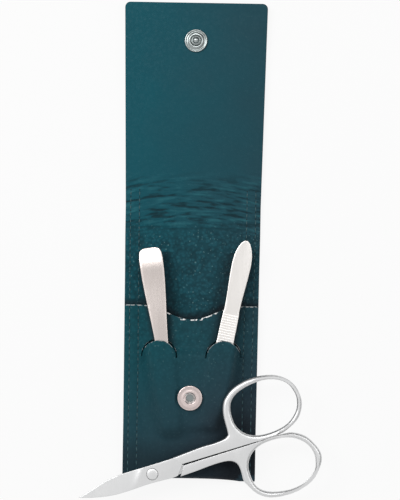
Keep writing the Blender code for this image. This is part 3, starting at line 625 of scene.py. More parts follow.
# ---------------------------------------------------------------------------
# The outer leather: one sheet of soft teal calf for the back, round the bottom
# and up the front, where two half-round cuts make the tongues that hold the
# tools. Its cut edges are painted; pale white glints along the mouth and the
# tongues are a painted highlight.
leather_thickness = 1.0 * MM
lining_thickness = 0.55 * MM
divider_thickness = 0.4 * MM
layer_gap = 0.05 * MM
leather_edge = 0.24 * MM
back_length = 91.8 * MM
bottom_width = 49.9 * MM
fold_width = 50.9 * MM
flat_width = fold_width / 2
fold_y = back_length / 2
bottom_y = -back_length / 2
widening_y = bottom_y + 42.0 * MM
seam_inset = 5.8 * MM
seam_x = bottom_width / 2 - seam_inset
outer_row = 1.9 * MM
inner_row = 5.2 * MM
lining_top = leather_thickness + layer_gap + lining_thickness
leather_middle = lining_top + 2 * layer_gap + divider_thickness + leather_thickness / 2
pocket_rise = 4.5 * MM
mouth_y = bottom_y + 66.0 * MM
scoop_depth = 5.1 * MM
scoop_half_width = 18.0 * MM
mouth_corner = 1.1 * MM
bend_reach = 3.0 * MM
bottom_waist = 1.1 * MM
bend_y = bottom_y + bend_reach + leather_thickness / 2
bend_flat = math.pi * bend_reach
slot_radius = 6.6 * MM
slot_cut = 0.4 * MM
slot_y = bottom_y + 46.7 * MM
snap_y = bottom_y + 31.9 * MM
snap_seat = 9.8 * MM
pad_radius = 4.9 * MM
pad_reach = 1.1 * MM
tent_reach = 6.5 * MM
ring_side_reach = 4.4 * MM
span_sag = 1.0 * MM
coat_gap = 0.4 * MM


def half_width(y):
    """Half the width of the back panel and pocket at a height y."""
    share = max(y - widening_y, 0) / (fold_y - widening_y)
    return (bottom_width + (fold_width - bottom_width) * share) / 2


def side_place(x, y):
    """A flat sheet's column in the real shape: only its side margins stretch."""
    if abs(x) <= seam_x:
        return x
    share = (abs(x) - seam_x) / (flat_width - seam_x)
    return math.copysign(seam_x + share * (half_width(y) - seam_x), x)


def pillow(x, seam):
    """0 at the side seams, 1 in the middle of the pocket."""
    return 1 - min(abs(x) / seam, 1) ** 3


def taper(y):
    """The pocket grows a little thinner toward its bottom."""
    return 1 - 0.2 * ease(1 - (y - bend_y) / (12.0 * MM))


class Slot:
    """One slot: its tongue and the tool that stands in it."""

    def __init__(self, x, place, lean, length, profile, roof, reach):
        self.x = x
        self.top = place.translation
        self.lean = lean
        self.reach = reach
        self.back = place.inverted()
        self.length = length
        self.profile = profile
        self.roof = roof

    def middle(self, y):
        """Where the tool's own middle line runs at a height y."""
        return self.top.x + (self.top.y - y) * math.tan(self.lean)

    def tongue(self, x, y):
        """Whether a point is on the tongue or on the leather below it."""
        return y <= slot_y or math.hypot(x - self.x, y - slot_y) < slot_radius

    def tent(self, x, y, tongue):
        """How far the tool lifts the leather: 1 over it, 0 well beside it."""
        local = self.back @ Vector((x, y, 0))
        down = -local.y
        inside = min(max(down, 0), self.length)
        beside = max(abs(local.x) - self.profile(inside) - 0.35 * MM, 0)
        below = max(down - self.length - 0.35 * MM, 0)
        share = ease(1 - math.hypot(beside, below) / self.reach)
        share *= ease((seam_x - abs(x)) / (2.6 * MM))
        if not tongue:
            share *= ease(1 - (y - slot_y) / (4.4 * MM))
        return share, self.roof(inside)


left_slot = Slot(-11.8 * MM, tweezers_place, tweezers_lean, tweezers_length,
                 tweezers_profile,
                 lambda down: tool_bed + arm_thickness * 2 + arm_lift(down),
                 tent_reach)
right_slot = Slot(12.3 * MM, pusher_place, pusher_lean, pusher_length,
                  pusher_profile,
                  lambda down: tool_bed + pusher_thickness + rib_height,
                  ring_side_reach)


def front_height(x, y, tongues):
    """Middle of the front leather's thickness over the back."""
    base = leather_middle + pocket_rise * pillow(x, seam_x) * taper(y)
    height = base
    for slot, tongue in zip((left_slot, right_slot), tongues):
        share, roof = slot.tent(x, y, tongue)
        over = roof + coat_gap + leather_thickness / 2
        height = max(height, base + (over - base) * share)
    left, right = left_slot.middle(y), right_slot.middle(y)
    span = (x - left) / (right - left)
    if 0 < span < 1:
        # between the tools the leather hangs a little, from one to the other
        ends = (left_slot.tent(left, y, any(tongues)),
                right_slot.tent(right, y, any(tongues)))
        share, roof = (a + (b - a) * span for a, b in zip(*ends))
        over = roof + coat_gap + leather_thickness / 2 - span_sag * 4 * span * (1 - span)
        height = max(height, base + (over - base) * share)
    from_pad = math.hypot(x, y - snap_y) - pad_radius
    pad = ease(1 - from_pad / pad_reach)
    seat = snap_seat - leather_thickness / 2
    near = ease(1 - from_pad / tent_reach)
    height = max(height, base + (seat - base) * near)
    return height + (seat - height) * pad


def steepness(height, x, y, *more):
    """Vertical thickness of a sloping sheet over its true thickness."""
    step = layer_gap
    dx = (height(x + step, y, *more) - height(x - step, y, *more)) / (2 * step)
    dy = (height(x, y + step, *more) - height(x, y - step, *more)) / (2 * step)
    full = min(math.sqrt(1 + dx * dx + dy * dy), 1.6)
    return 1 + (full - 1) * ease((seam_x - abs(x)) / (1.3 * MM))


def flat_place(y):
    """Where a height on the front lies on the flat sheet, before bending."""
    return -(y - bend_y) - bend_flat / 2


def scoop_y(x):
    """The mouth of the pocket: straight at the sides, scooped in the middle."""
    share = min(abs(x) / scoop_half_width, 1)
    return mouth_y - scoop_depth * (1 + math.cos(math.pi * share)) / 2


# Past the bend region the sheet runs on as the fold and the flap, rising by
# 1 degree from the table over the two hinge lines of the fold
fold_step = 11.463 * MM
flap_y = fold_y + fold_step
rise_start = fold_y - fold_step / 2
rise_end = flap_y + fold_step / 2
rest_turn = math.radians(1.0)
REST_SLOPE = math.tan(rest_turn)
flap_end = flap_y + 76.64 * MM
flap_half_width = 53.7 * MM / 2
flap_corner = 2.0 * MM


def rise(y):
    """Height of the opened case over its flat back, at a distance y up it."""
    run = min(max(y - rise_start, 0), rise_end - rise_start)
    return REST_SLOPE * (run * run / (fold_step * 4) + max(y - rise_end, 0))


def row_groove(x, y):
    """The pull of the two rows of stitches at each side of the pocket."""
    inset = half_width(y) - abs(x)
    return -0.13 * MM * sum(math.exp(-((inset - row) / (0.42 * MM)) ** 2)
                            for row in (outer_row, inner_row))


def outer_leather_place(x, v, w):
    """Carry a point of the flat leather round the bottom of the case."""
    half = bend_flat / 2
    lift = w
    if v >= half:
        y = bend_y + v - half
        real_x = side_place(x, y) if y < fold_y else x
        return (real_x, y, leather_thickness / 2 - lift + rise(y))
    if v > -half:
        turn = (v + half) / bend_flat * math.pi
        real_x = side_place(x, bend_y)
        top = front_height(real_x, bend_y, (True, True))
        steep = steepness(front_height, real_x, bend_y, (True, True))
        reach = bend_reach - bottom_waist * pillow(real_x, seam_x)
        high = (top - leather_thickness / 2) / 2
        out_y = -math.sin(turn) / reach
        out_z = math.cos(turn) / high
        size = math.hypot(out_y, out_z)
        thick = lift * (1 + (steep - 1) * max(math.cos(turn), 0))
        groove = row_groove(real_x, bend_y) * max(math.cos(turn), 0)
        y = bend_y - reach * math.sin(turn) + thick * out_y / size
        z = leather_thickness / 2 + high * (1 + math.cos(turn))
        return (real_x, y, z + thick * out_z / size + groove)
    y = bend_y - half - v
    real_x = side_place(x, y)
    tongues = (left_slot.tongue(x, y), right_slot.tongue(x, y))
    middle = front_height(real_x, y, tongues)
    steep = steepness(front_height, real_x, y, tongues)
    return (real_x, y, middle + lift * steep + row_groove(real_x, y))


def leather(name, tints, pebble, crease):
    """Dyed calf leather: pebbled grain, creases at the fold, a soft sheen.

    tints are the dye; a grey tone, laid on toward the right, toward the
    bottom as painted shade, and in soft clouds of uneven dye; a light tone
    for the painted highlight on the tops of pebbles and creases; and a dark
    tone for random mottle and for the painted shade in pores and crease
    valleys. pebble is (start, end, weight, weight) along the case, crease
    (middle, reach, weight). Two layers of the mesh give the painted white
    glints on the cut edges ("painted_edge_glint") and the painted shade beside the
    tools, above the mouth and low on the front ("hollow").
    """
    look, tree, shader, place = new_look(name)

    def soft(source, *ends):
        return value(tree, "MapRange", source, *ends, interpolation_type="SMOOTHSTEP")

    def math_node(operation, *numbers, **settings):
        return value(tree, "Math", *numbers, operation=operation, **settings)

    def dyed(under, code, share, *more):
        for other in more:
            share = math_node("MULTIPLY", share, other)
        return blend_tones(tree, share, under, colour(code))

    axes = add(tree, "SeparateXYZ", {"Vector": place}).outputs
    along = axes["Y"]
    # the grain's pebbles are about 1.3 mm across, with 0.35 mm pores between
    loose = value(tree, "VectorMath", noise(tree, place, 420.0)["Color"],
                  (0.5, 0.5, 0.5), operation="SUBTRACT")
    loose = add(tree, "VectorMath", {0: loose, "Scale": 0.0016},
                operation="SCALE").outputs[0]
    wavy = value(tree, "VectorMath", place, loose, operation="ADD")
    cells = add(tree, "TexVoronoi", {"Vector": wavy, "Scale": 760.0,
                                     "Smoothness": 0.35, "Randomness": 1.0},
                feature="SMOOTH_F1").outputs["Distance"]
    pores = noise(tree, place, 2600.0, 3.0)[0]
    # creases run across and arch up in the middle, 2 to 3 mm apart
    square = math_node("MULTIPLY", axes["X"], axes["X"])
    arch = math_node("MULTIPLY_ADD", square, 5.0, along)
    bent = add(tree, "CombineXYZ", {"X": axes["X"], "Y": arch}).outputs[0]
    far = add(tree, "Mapping", {"Vector": bent, "Scale": (110, 620, 1)}).outputs[0]
    folds = noise(tree, far, 1.0, 3.0)[0]
    in_pebble = soft(along, *pebble)
    from_crease = math_node("ABSOLUTE", math_node("SUBTRACT", along, crease[0]))
    in_crease = soft(from_crease, crease[1] * 0.3, crease[1], crease[2], 0.0)
    grain = math_node("MULTIPLY", math_node("MULTIPLY_ADD", cells, -1.0, 1.0), in_pebble)
    height = math_node("MULTIPLY_ADD", math_node("MULTIPLY", folds, in_crease), 2.4,
                       math_node("MULTIPLY_ADD", pores, 0.22, grain))
    # greyer toward the bottom as a painted shade; greyer toward the right too,
    # and in soft clouds of uneven dye
    right = value(tree, "MapRange", axes["X"], -22 * MM, 24 * MM, -0.25, 0.38)
    down = value(tree, "MapRange", along, 8 * MM, -38 * MM, 0.0, 0.75)
    shade_and_dye = math_node("MULTIPLY_ADD", noise(tree, place, 45.0, 4.0)[0], 0.5,
                       math_node("ADD", right, down), use_clamp=True)
    tone = dyed(colour(tints[0]), tints[1], shade_and_dye)
    # random dark mottle, then painted shade in the pores between the pebbles
    # and a painted highlight on their tops
    mottle = soft(noise(tree, place, 300.0)[0], 0.48, 0.66, 0.0, 0.4)
    tone = dyed(tone, tints[3], mottle, in_pebble)
    tone = dyed(tone, tints[3], soft(cells, 0.32, 0.62, 0.0, 0.38), in_pebble)
    tone = dyed(tone, tints[2], soft(cells, 0.28, 0.1, 0.0, 0.28), in_pebble)
    # painted glints: pale specks on the pebbles
    pebble_glints = soft(noise(tree, place, 1250.0, 0.0)[0], 0.74, 0.8, 0.0, 0.4)
    tone = dyed(tone, "86b3b6", pebble_glints, in_pebble)
    # painted shade in the creases' valleys, painted highlight on their tops
    tone = dyed(tone, tints[3], soft(folds, 0.5, 0.36, 0.0, 0.75), in_crease)
    tone = dyed(tone, tints[2], soft(folds, 0.52, 0.68, 0.0, 0.45), in_crease)
    # painted shade beside the tools, above the mouth and low on the front, from the hollow
    # layer
    painted_shade = add(tree, "Attribute", {}, attribute_name="hollow").outputs["Fac"]
    tone = dyed(tone, "15161b", painted_shade)
    # painted highlight: white glints in dashes along the cut edges
    edge_glint_mask = add(tree, "Attribute", {}, attribute_name="painted_edge_glint").outputs["Fac"]
    glint_breaks = value(tree, "MapRange", noise(tree, place, 600.0, 3.0)[0], 0.47, 0.51)
    tone = dyed(tone, "ffffff", value(tree, "MapRange", edge_glint_mask, 0.35, 0.55), glint_breaks)
    wire_up(tree, shader, Base_Color=tone, Normal=relief(tree, height, 0.9, 0.22 * MM),
            Roughness=value(tree, "MapRange", cells, 0.1, 0.6, 0.42, 0.62))
    shader.inputs["Specular IOR Level"].default_value = 0.1
    return look


def mark(made, name, measure):
    """Write a layer on a piece's mesh: a value worked out at every corner."""
    layer = made.data.attributes.new(name, "FLOAT", "POINT")
    for vert in made.data.vertices:
        layer.data[vert.index].value = measure(*vert.co)


def beside(slot, x, y):
    """How far a point is from the tool in a slot, and on which side of it."""
    local = slot.back @ Vector((x, y, 0))
    down = min(max(-local.y, 0), slot.length)
    across = max(abs(local.x) - slot.profile(down), 0)
    return math.hypot(across, local.y + down), local.x


def lining_painted_shade(x, y, z):
    """Painted shade on the lining: dark beside the tools and above the pocket's mouth."""
    lit = 1.0
    for slot, side in ((left_slot, 1), (right_slot, -1)):
        away, across = beside(slot, x, y)
        reach = 6.0 * MM if across * side > 0 else 2.2 * MM
        lit *= 1 - 0.5 * ease(1 - away / reach)
    lit *= 1 - 0.75 * ease(1 - (y - scoop_y(x)) / (3.4 * MM))
    return 1 - lit


def front_painted_shade(x, y, z):
    """Painted shade on the front: dark beside the tools, above its tongues only."""
    lit = 1.0
    if z < 3 * MM:
        return 0.0
    for slot, side in ((left_slot, 1), (right_slot, -1)):
        if slot.tongue(x, y):
            continue
        away, across = beside(slot, x, y)
        reach = 4.2 * MM if across * side > 0 else 2.4 * MM
        lit *= 1 - 0.6 * ease(1 - away / reach)
    # the low right corner lies in the shade of the scissors' handles
    lit *= 1 - 0.7 * ease((x - 2 * MM) / (14 * MM)) * ease((-y - 12 * MM) / (14 * MM))
    # painted shade, darker toward the bottom of the pocket
    lit *= 1 - 0.5 * ease((-y - 26 * MM) / (14 * MM))
    return 1 - lit


rim_reach = 0.42 * MM
full_glint_reach = 9.5 * MM
half_glint = 0.43


def edge_glint_strength(x, y, z):
    """How strong a corner's painted white glint is: most in the scoop, less at sides and
    tongues.
    """
    if z < 1.5 * MM:
        return 0.0
    if abs(y - scoop_y(x)) < rim_reach:
        return 1.0 if abs(x) < full_glint_reach else half_glint
    near = any(abs(math.hypot(x - slot.x, y - slot_y) - slot_radius) < rim_reach
               for slot in (left_slot, right_slot) if y > slot_y + 2 * MM)
    return half_glint if near else 0.0


front_leather = leather(
    "teal_calf_leather_outside", ("11505a", "293c46", "2f737c", "0d2228"),
    (-14 * MM, 14 * MM, 0.12, 0.45), (56 * MM, 10 * MM, 0.0))

mouth = [(x, flat_place(scoop_y(x)))
         for x in steps(-scoop_half_width, scoop_half_width, 72)]
corner_x = flat_width - mouth_corner
corner_v = flat_place(mouth_y) + mouth_corner
outline = [(-flat_width, corner_v)]
outline += corner(-corner_x, corner_v, -mouth_corner, steps(math.pi / 12, math.pi / 2, 5))
outline += mouth
outline += corner(corner_x, corner_v, mouth_corner, steps(-math.pi / 2, 0, 6))
back_rows = [bend_flat / 2 + y - bend_y for y in (fold_y, flap_y)]
flat_end = bend_flat / 2 + flap_end - bend_y
outline += [(flat_width, v) for v in back_rows]
outline += corner(flap_half_width - flap_corner, flat_end - flap_corner, flap_corner,
                  steps(0, math.pi / 2, 6))
outline += [(-x, v) for x, v in reversed(outline[-9:])]
# the sheet's holes: the two slots, and the one that the eyelet goes through
stud_hole = 1.8 * MM
slots = []
for slot in (left_slot, right_slot):
    band = []
    for radius, turns in ((slot_radius + slot_cut / 2, steps(0, math.pi, 40)),
                          (slot_radius - slot_cut / 2, steps(math.pi, 0, 40))):
        band += [(x, flat_place(y)) for x, y in corner(slot.x, slot_y, radius, turns)]
    slots.append(band)
slots.append([(x, flat_place(y)) for x, y in corner(
    0, snap_y, stud_hole, steps(0, 2 * math.pi, 40)[:-1])])


def sheet_part(shape, axis, low, high):
    """The part of a sheet between two cut lines, closed at both."""
    part = shape.copy()
    normal = Vector((0, 0, 0))
    normal[axis] = 1
    for place, side in ((low, -1), (high, 1)):
        if place is None:
            continue
        cut = bmesh.ops.bisect_plane(
            part, geom=part.verts[:] + part.edges[:] + part.faces[:],
            dist=0.0005 * MM, plane_co=normal * place, plane_no=normal * side,
            clear_outer=True)
        rim = [e for e in cut["geom_cut"] if isinstance(e, bmesh.types.BMEdge)]
        bmesh.ops.holes_fill(part, edges=rim, sides=0)
    return part


outer_sheet = cut_sheet([outline] + slots, -leather_thickness / 2,
                        leather_thickness / 2, leather_edge)
first_seam = bend_flat / 2 + rise_start - bend_y
front_part = sheet_part(outer_sheet, 1, None, first_seam)
columns = [0.8 * MM * n for n in range(-30, 31)]
for row in (outer_row, inner_row):
    for side in (-1, 1):
        centre = seam_x + (flat_width - seam_x) * (seam_inset - row) / seam_inset
        columns += [side * centre + n * 0.28 * MM for n in (-2, -1, 0, 1, 2)]
score(front_part, 0, sorted(columns))
score(front_part, 1, [flat_place(y) for y in steps(bend_y, mouth_y - MM, 80)])
score(front_part, 1, steps(-bend_flat / 2, bend_flat / 2, 14)[1:])
bend(front_part, outer_leather_place, True)
case_leather = piece("case_outer_leather", front_part, front_leather, "case", 50)
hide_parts("case_leather")
# painted highlight: white glints on the cut edges
mark(case_leather, "painted_edge_glint", edge_glint_strength)
# painted shade on the front, kept in the mesh's hollow layer
mark(case_leather, "hollow", front_painted_shade)

# ---------------------------------------------------------------------------
# The outer leather goes on over the fold and the flap: two bending stretches
# and the stiff flap. The stretches meet in the middle of the fold.
hinges = (("case", "fold", fold_y), ("fold", "flap", flap_y))


def sheet_place(level):
    """How the flat sheet at a level over the table lies in the opened case."""
    def place(x, y, z):
        real_x = side_place(x, y) if y < fold_y else x
        return (real_x, y, level + z + rise(y))
    return place


def fold_stretches(sheet, place, shift, name, look, node, turns_over):
    """Cut the two bending stretches of a sheet, one about each hinge line, each a piece of
    its own.
    """
    for lower, upper, hinge in hinges:
        low = hinge - fold_step / 2
        part = sheet_part(sheet, 1, low + shift, low + fold_step + shift)
        score(part, 1, steps(low + shift, low + fold_step + shift, 24)[1:-1])
        score(part, 0, [1.5 * MM * n for n in range(-16, 17)])
        bend(part, place, turns_over)
        made = piece(f"{name}_to_{upper}", part, look, None, 50)
        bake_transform(made)
        if upper == "fold":
            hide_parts(node)


shift = bend_flat / 2 - bend_y
fold_stretches(outer_sheet, outer_leather_place, shift, "fold_outer_leather",
               front_leather, "fold_leather", True)
flap_part = sheet_part(outer_sheet, 1, rise_end + shift, None)
outer_sheet.free()
score(flap_part, 1, [rise_end + shift + 6 * MM * n for n in range(1, 12)])
bend(flap_part, outer_leather_place, True)
flap_leather = piece("flap_outer_leather", flap_part, front_leather, "flap", 50)
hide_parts("flap_leather")

# ---------------------------------------------------------------------------
# The lining: a thinner sheet of the same calf glued inside, from the bottom of
# the pocket over the back and the fold to the end of the flap. It is creased
# across the fold and pebbled below it, where the tools press.
inside_leather = leather(
    "teal_calf_leather_inside", ("13535f", "29434d", "35767f", "0d2228"),
    (56 * MM, 44 * MM, 0.05, 0.85), (58 * MM, 13.5 * MM, 1.0))
lining_outline = [(-flat_width, bend_y), (flat_width, bend_y), (flat_width, fold_y),
                  (flat_width, flap_y)]
lining_outline += corner(flap_half_width - flap_corner, flap_end - flap_corner,
                         flap_corner, steps(0, math.pi / 2, 6))
lining_outline += [(-x, v) for x, v in reversed(lining_outline[2:])]
lining_sheet = cut_sheet([lining_outline], -lining_thickness, 0, 0.2 * MM)
part = sheet_part(lining_sheet, 1, None, rise_start)
score(part, 1, steps(bend_y, rise_start, 90)[1:-1])
score(part, 0, [0.9 * MM * n for n in range(-28, 29)])
bend(part, sheet_place(lining_top))
back_lining = piece("back_panel_lining", part, inside_leather, "case", 50)
# painted shade on the lining, kept in the mesh's hollow layer
mark(back_lining, "hollow", lining_painted_shade)
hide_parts("back_lining")
fold_stretches(lining_sheet, sheet_place(lining_top), 0, "fold_inner_lining",
               inside_leather, "fold_lining", False)
part = sheet_part(lining_sheet, 1, rise_end, None)
lining_sheet.free()
score(part, 1, [rise_end + 6 * MM * n for n in range(1, 12)])
bend(part, sheet_place(lining_top))
flap_lining = piece("flap_inner_lining", part, inside_leather, "flap", 50)
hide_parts("flap_lining")

# ---------------------------------------------------------------------------
# The divider: a thin leaf of the same lining between the scissors pocket
# behind and the tool slots in front, sewn in with the side seams.
divider_seam_x = seam_x - 1.1 * MM
divider_middle = lining_top + layer_gap + divider_thickness / 2
divider_rise = 4.3 * MM


def divider_height(x, y):
    """Middle of the divider's thickness over the back."""
    return divider_middle + divider_rise * pillow(x, divider_seam_x) * taper(y)


def divider_place(x, y, z):
    """Carry a point of the flat leaf to its pillow shape."""
    real_x = side_place(x, y)
    steep = steepness(divider_height, real_x, y)
    return (real_x, y, divider_height(real_x, y) + z * steep)


leaf_outline = [(-flat_width, mouth_y - 0.8 * MM)]
leaf_outline += [(x, scoop_y(x) - 0.8 * MM)
                 for x in steps(-scoop_half_width, scoop_half_width, 40)]
leaf_outline += [(flat_width, mouth_y - 0.8 * MM), (flat_width, bend_y + 0.3 * MM),
                 (-flat_width, bend_y + 0.3 * MM)]
shape = cut_sheet([leaf_outline], -divider_thickness / 2, divider_thickness / 2,
                  0.12 * MM)
score(shape, 0, [1.2 * MM * n for n in range(-20, 21)])
score(shape, 1, steps(bend_y, mouth_y, 30)[1:-1])
bend(shape, divider_place)
bmesh.ops.recalc_face_normals(shape, faces=shape.faces[:])
divider = piece("divider_leaf", shape, inside_leather, "case", 50)
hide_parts("pocket_divider")

# ---------------------------------------------------------------------------
# The seams: two rows of lockstitch down each side, one stitch every 2.6 mm, in
# a grey-teal polyester thread. Each stitch dips into its needle holes.
stitch_pitch = 2.6 * MM
stitch_length = 1.4 * MM
thread_radius = 0.14 * MM
thread_look, tree, shader, place = new_look("twisted_polyester_thread")
turns = add(tree, "Mapping", {"Vector": place, "Rotation": (0, 0, math.radians(32)),
                              "Scale": (3200, 900, 900)}).outputs[0]
twist = add(tree, "TexWave", {"Vector": turns, "Scale": 1.0, "Distortion": 1.0}).outputs[0]
wire_up(tree, shader, Normal=relief(tree, twist, 0.5, 0.05 * MM),
        Base_Color=blend_tones(tree, twist, colour("1f444c"), colour("587679")))
shader.inputs["Roughness"].default_value = 0.7
# needle holes are flat dark beads on the leather: painted shade where the holes go in
hole_shade_look, tree, shader, place = new_look("needle_hole_shade")
wire_up(tree, shader, Base_Color=blend_tones(
    tree, noise(tree, place, 3000.0)[0], colour("0b1417"), colour("13262b")))
shader.inputs["Roughness"].default_value = 0.9


def bead(shape, centre, size, turn=0.0):
    """A small rounded bead: one stitch, or the mouth of a needle hole, dark with painted
    shade.
    """
    made = bmesh.ops.create_icosphere(shape, subdivisions=2, radius=1.0)["verts"]
    bmesh.ops.scale(shape, verts=made, vec=size)
    bmesh.ops.rotate(shape, verts=made, cent=(0, 0, 0),
                     matrix=Matrix.Rotation(turn, 3, "Z"))
    bmesh.ops.translate(shape, verts=made, vec=centre)


def stitch_rows(low, high, surface, sides, insets):
    """Stitches and needle holes of one seam between two heights on a surface."""
    threads = bmesh.new()
    holes = bmesh.new()
    first = math.ceil((low - bottom_y) / stitch_pitch - 0.5)
    last = math.floor((high - bottom_y) / stitch_pitch - 0.5)
    for number in range(first, last + 1):
        y = bottom_y + (number + 0.5) * stitch_pitch
        for side in sides:
            for inset in insets:
                lean = 0.09 * math.sin(number * 2.4 + side + inset / MM)
                x = side * (half_width(min(y, fold_y)) - inset)
                bead(threads, (x, y, surface(x, y) + 0.06 * MM),
                     (0.17 * MM, stitch_length / 2, thread_radius), lean)
                bead(holes, (x, y + stitch_pitch / 2, surface(x, y + stitch_pitch / 2)),
                     (0.2 * MM, 0.3 * MM, 0.04 * MM))
    return threads, holes


def front_surface(x, y):
    """The top of the front leather beside the seams."""
    return leather_middle + leather_thickness / 2 - 0.1 * MM


def inside_surface(x, y):
    """The top of the lining, all the way up."""
    return lining_top + rise(y)


for side_name, side in (("left", -1), ("right", 1)):
    for row_name, inset in (("outer", outer_row), ("inner", inner_row)):
        for area, low, high, surface in (
            ("pocket", bend_y, mouth_y - 0.5 * MM, front_surface),
            ("back", mouth_y + MM, rise_start, inside_surface),
        ):
            threads, holes = stitch_rows(low, high, surface, (side,), (inset,))
            made = piece(f"{area}_thread_{side_name}_{row_name}", threads,
                         thread_look, "case", 80)
            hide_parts(f"{area}_stitches_{side_name}_{row_name}")
            piece(f"{area}_needle_holes_{side_name}_{row_name}", holes, hole_shade_look,
                  "case", 80)
for lower, upper, hinge in hinges:
    low = hinge - fold_step / 2
    threads, holes = stitch_rows(low, low + fold_step, inside_surface, (-1, 1),
                                 (outer_row, inner_row))
    for kind, shape, look in (("thread", threads, thread_look),
                              ("needle_holes", holes, hole_shade_look)):
        made = piece(f"fold_{kind}_to_{upper}", shape, look, None, 80)
        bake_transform(made)

# ---------------------------------------------------------------------------
# The flap's press stud: a turned and plated brass ball stud inside, riveted
# through both layers to a domed cap outside.
stud_y = 62.342 * MM
flap_frame = Matrix.Translation((0, flap_y, lining_top + rise(flap_y)))
flap_frame = flap_frame @ Matrix.Rotation(rest_turn, 4, "X")
stud_place = flap_frame @ Matrix.Translation((0, stud_y, 0))


def plated(name, tint, shade, rough):
    """Nickel-plated brass, a little uneven under its bright plate."""
    look, tree, shader, place = new_look(name)
    clouds = noise(tree, place, 500.0, 3.0)[0]
    wire_up(tree, shader,
            Base_Color=blend_tones(tree, clouds, colour(tint), colour(shade)),
            Roughness=value(tree, "MapRange", clouds, 0.3, 0.7, rough - 0.04,
                            rough + 0.06),
            Normal=relief(tree, clouds, 0.15, 0.03 * MM))
    shader.inputs["Metallic"].default_value = 1.0
    return look


nickel = plated("nickel_plated_brass", "a9afae", "8f9797", 0.2)
ball = corner(0, 2.15 * MM, 1.3 * MM, steps(math.pi / 2, -0.86, 12))
ball[0] = (0, 3.45 * MM)
stud_profile = ball + real((
    (0.85, 0.55), (0.95, 0.42), (1.6, 0.38), (1.9, 0.46), (1.97, 0.8),
    (2.05, 0.93), (2.25, 0.98), (2.6, 0.97), (2.75, 0.92), (3.0, 0.62),
    (3.25, 0.44), (3.45, 0.4), (3.6, 0.44), (3.7, 0.6), (3.8, 0.71),
    (3.95, 0.75), (4.12, 0.72), (4.25, 0.6), (4.3, 0.42), (4.3, 0.05), (0, 0.05),
))
shape = moved(turned(stud_profile), stud_place)
stud = piece("flap_ball_stud", shape, nickel, "flap", 50)
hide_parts("flap_snap_stud")
cap_base = -lining_top - 0.05 * MM
cap_profile = [(0, 0), (1.2 * MM, 0), (1.2 * MM, cap_base), (4.4 * MM, cap_base)]
cap_profile += [(4.6 * MM * math.cos(turn),
                 cap_base - 0.12 * MM - 0.93 * MM * math.sin(turn))
                for turn in steps(0, math.pi / 2, 10)]
cap_profile[-1] = (0, cap_base - 1.05 * MM)
shape = moved(turned(cap_profile), stud_place)
cap = piece("flap_stud_cap", shape, nickel, "flap", 50)
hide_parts("flap_snap_cap")

# ---------------------------------------------------------------------------
# The pocket's press stud: a dished socket of the same plated brass over an
# eyelet, with a sprung wire ring inside that grips the ball.
rose_nickel = plated("nickel_plated_socket", "dccfcc", "c9b9b6", 0.24)
socket_place = Matrix.Translation((0, snap_y, snap_seat))
socket_profile = real((
    (1.45, 0.05), (1.45, 1.0), (1.52, 1.12), (1.7, 1.15), (2.0, 1.15), (2.1, 1.2),
    (2.14, 1.38), (2.22, 1.46), (2.4, 1.46), (2.8, 1.38), (3.4, 1.28),
    (3.9, 1.26), (4.3, 1.32), (4.5, 1.3), (4.62, 1.15), (4.65, 0.9),
    (4.65, 0.05), (1.45, 0.05),
))
shape = moved(turned(socket_profile), socket_place)
socket = piece("pocket_stud_socket", shape, rose_nickel, "case", 50)
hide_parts("front_snap_socket")
eyelet_profile = real((
    (1.45, 0.0), (1.75, 0.0), (1.75, -1.05), (3.2, -1.05), (3.2, -1.5),
    (0.02, -1.5), (0.02, -1.2), (1.4, -1.2), (1.45, 0.0),
))
shape = moved(turned(eyelet_profile), socket_place)
eyelet = piece("pocket_stud_eyelet", shape, nickel, "case", 50)
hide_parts("front_snap_eyelet")
wire = bpy.data.curves.new("pocket_stud_spring", "CURVE")
wire.dimensions = "3D"
wire.bevel_depth = 0.14 * MM
wire.bevel_resolution = 3
wire.use_fill_caps = True
route = wire.splines.new("POLY")
turns = steps(math.radians(-150), math.radians(150), 48)
route.points.add(len(turns) - 1)
for point, turn in zip(route.points, turns):
    point.co = (1.8 * MM * math.cos(turn), snap_y + 1.8 * MM * math.sin(turn),
                snap_seat + 1.31 * MM, 1)
wire.materials.append(nickel)
spring = placed("pocket_stud_spring", wire)
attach(spring, "case")
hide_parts("front_snap_spring")

# ---------------------------------------------------------------------------
# The table, the light and the camera: a white sweep, three soft boxes and a
# white room, seen from straight above.
floor_mesh = bpy.data.meshes.new("table")
shape = bmesh.new()
bmesh.ops.create_grid(shape, x_segments=1, y_segments=1, size=3.0)
bmesh.ops.translate(shape, verts=shape.verts[:], vec=(0, 0, -0.05 * MM))
shape.to_mesh(floor_mesh)
shape.free()
floor = placed("table", floor_mesh)
look, tree, shader, place = new_look("white_table")
tree.nodes.remove(shader)
tree.nodes.remove(place.node)
seen = add(tree, "LightPath", {}).outputs
direct = seen["Is Camera Ray"]
for ray in ("Is Glossy Ray", "Is Transmission Ray"):
    direct = value(tree, "Math", direct, seen[ray], operation="MAXIMUM")
matt = add(tree, "BsdfDiffuse", {"Color": (0.8, 0.8, 0.8, 1)}).outputs[0]
glow = add(tree, "Emission", {"Color": (1, 1, 1, 1), "Strength": 1.0}).outputs[0]
share = value(tree, "Math", direct, 0.9, operation="MULTIPLY")
tree.links.new(value(tree, "MixShader", share, matt, glow),
               tree.nodes["Material Output"].inputs["Surface"])
floor_mesh.materials.append(look)

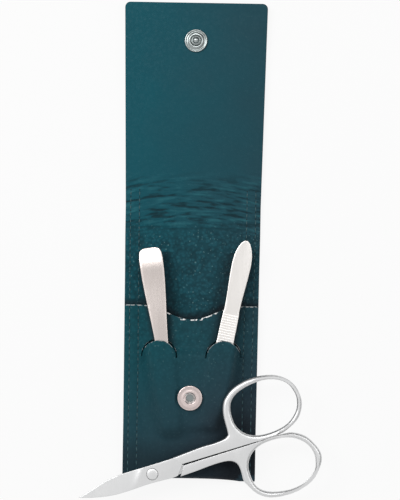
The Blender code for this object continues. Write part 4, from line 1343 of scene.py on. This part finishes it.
world = bpy.data.worlds.new("white_room")
bpy.context.scene.world = world
world.use_nodes = True
tree = world.node_tree
tree.nodes.clear()
seen = add(tree, "LightPath", {}).outputs
view_ray = value(tree, "Math", seen["Is Camera Ray"], seen["Is Transmission Ray"],
                 operation="MAXIMUM")
toward = add(tree, "TexCoord", {}).outputs["Generated"]
upright = add(tree, "SeparateXYZ", {"Vector": toward}).outputs["Z"]
# polished metal sees a grey patch overhead, where the camera hangs, a white
# ceiling round it, and walls that are bright at the lower left only
lower_left = add(tree, "VectorMath", {0: toward, 1: (-0.6, -0.8, 0.0)},
                 operation="DOT_PRODUCT").outputs["Value"]
wall = value(tree, "MapRange", lower_left, -0.7, 0.7, 0.2, 0.9)
ceiling, overhead = (
    value(tree, "MapRange", upright, *ends, interpolation_type="SMOOTHSTEP")
    for ends in ((0.45, 0.85), (0.962, 0.992)))
room = blend_values(tree, ceiling, wall, 1.0)
room = blend_values(tree, overhead, room, 0.66)
plain = blend_values(tree, seen["Is Glossy Ray"], 0.34, room)
strength = blend_values(tree, view_ray, plain, 1.0)
back = add(tree, "Background", {"Color": (1, 1, 1, 1), "Strength": strength}).outputs[0]
out = tree.nodes.new("ShaderNodeOutputWorld")
tree.links.new(back, out.inputs["Surface"])


def soft_box(name, place, aim, size, power):
    """A square soft box on a stand, turned toward the case."""
    lamp = bpy.data.lights.new(name, "AREA")
    lamp.shape = "SQUARE"
    lamp.size = size
    lamp.energy = power
    made = placed(name, lamp)
    made.location = place
    direction = Vector(aim) - Vector(place)
    made.rotation_euler = direction.to_track_quat("-Z", "Y").to_euler()


soft_box("key_box", (-0.42, 0.30, 0.62), (0, 0.04, 0), 0.35, 2.5)
soft_box("fill_box", (0.5, 0.22, 0.55), (0, 0.04, 0), 0.4, 0.8)
soft_box("top_box", (-0.02, 0.36, 0.72), (0, 0.04, 0), 0.22, 0.8)

camera_data = bpy.data.cameras.new("camera")
camera_data.lens = 114.3
camera_data.sensor_width = 36.0
camera = placed("camera", camera_data)
camera.location = (2.83 * MM, 41.03 * MM, 600 * MM)
camera.rotation_euler = (0, 0, math.radians(0.98))
bpy.context.scene.camera = camera
bpy.context.scene.view_settings.view_transform = "Standard"
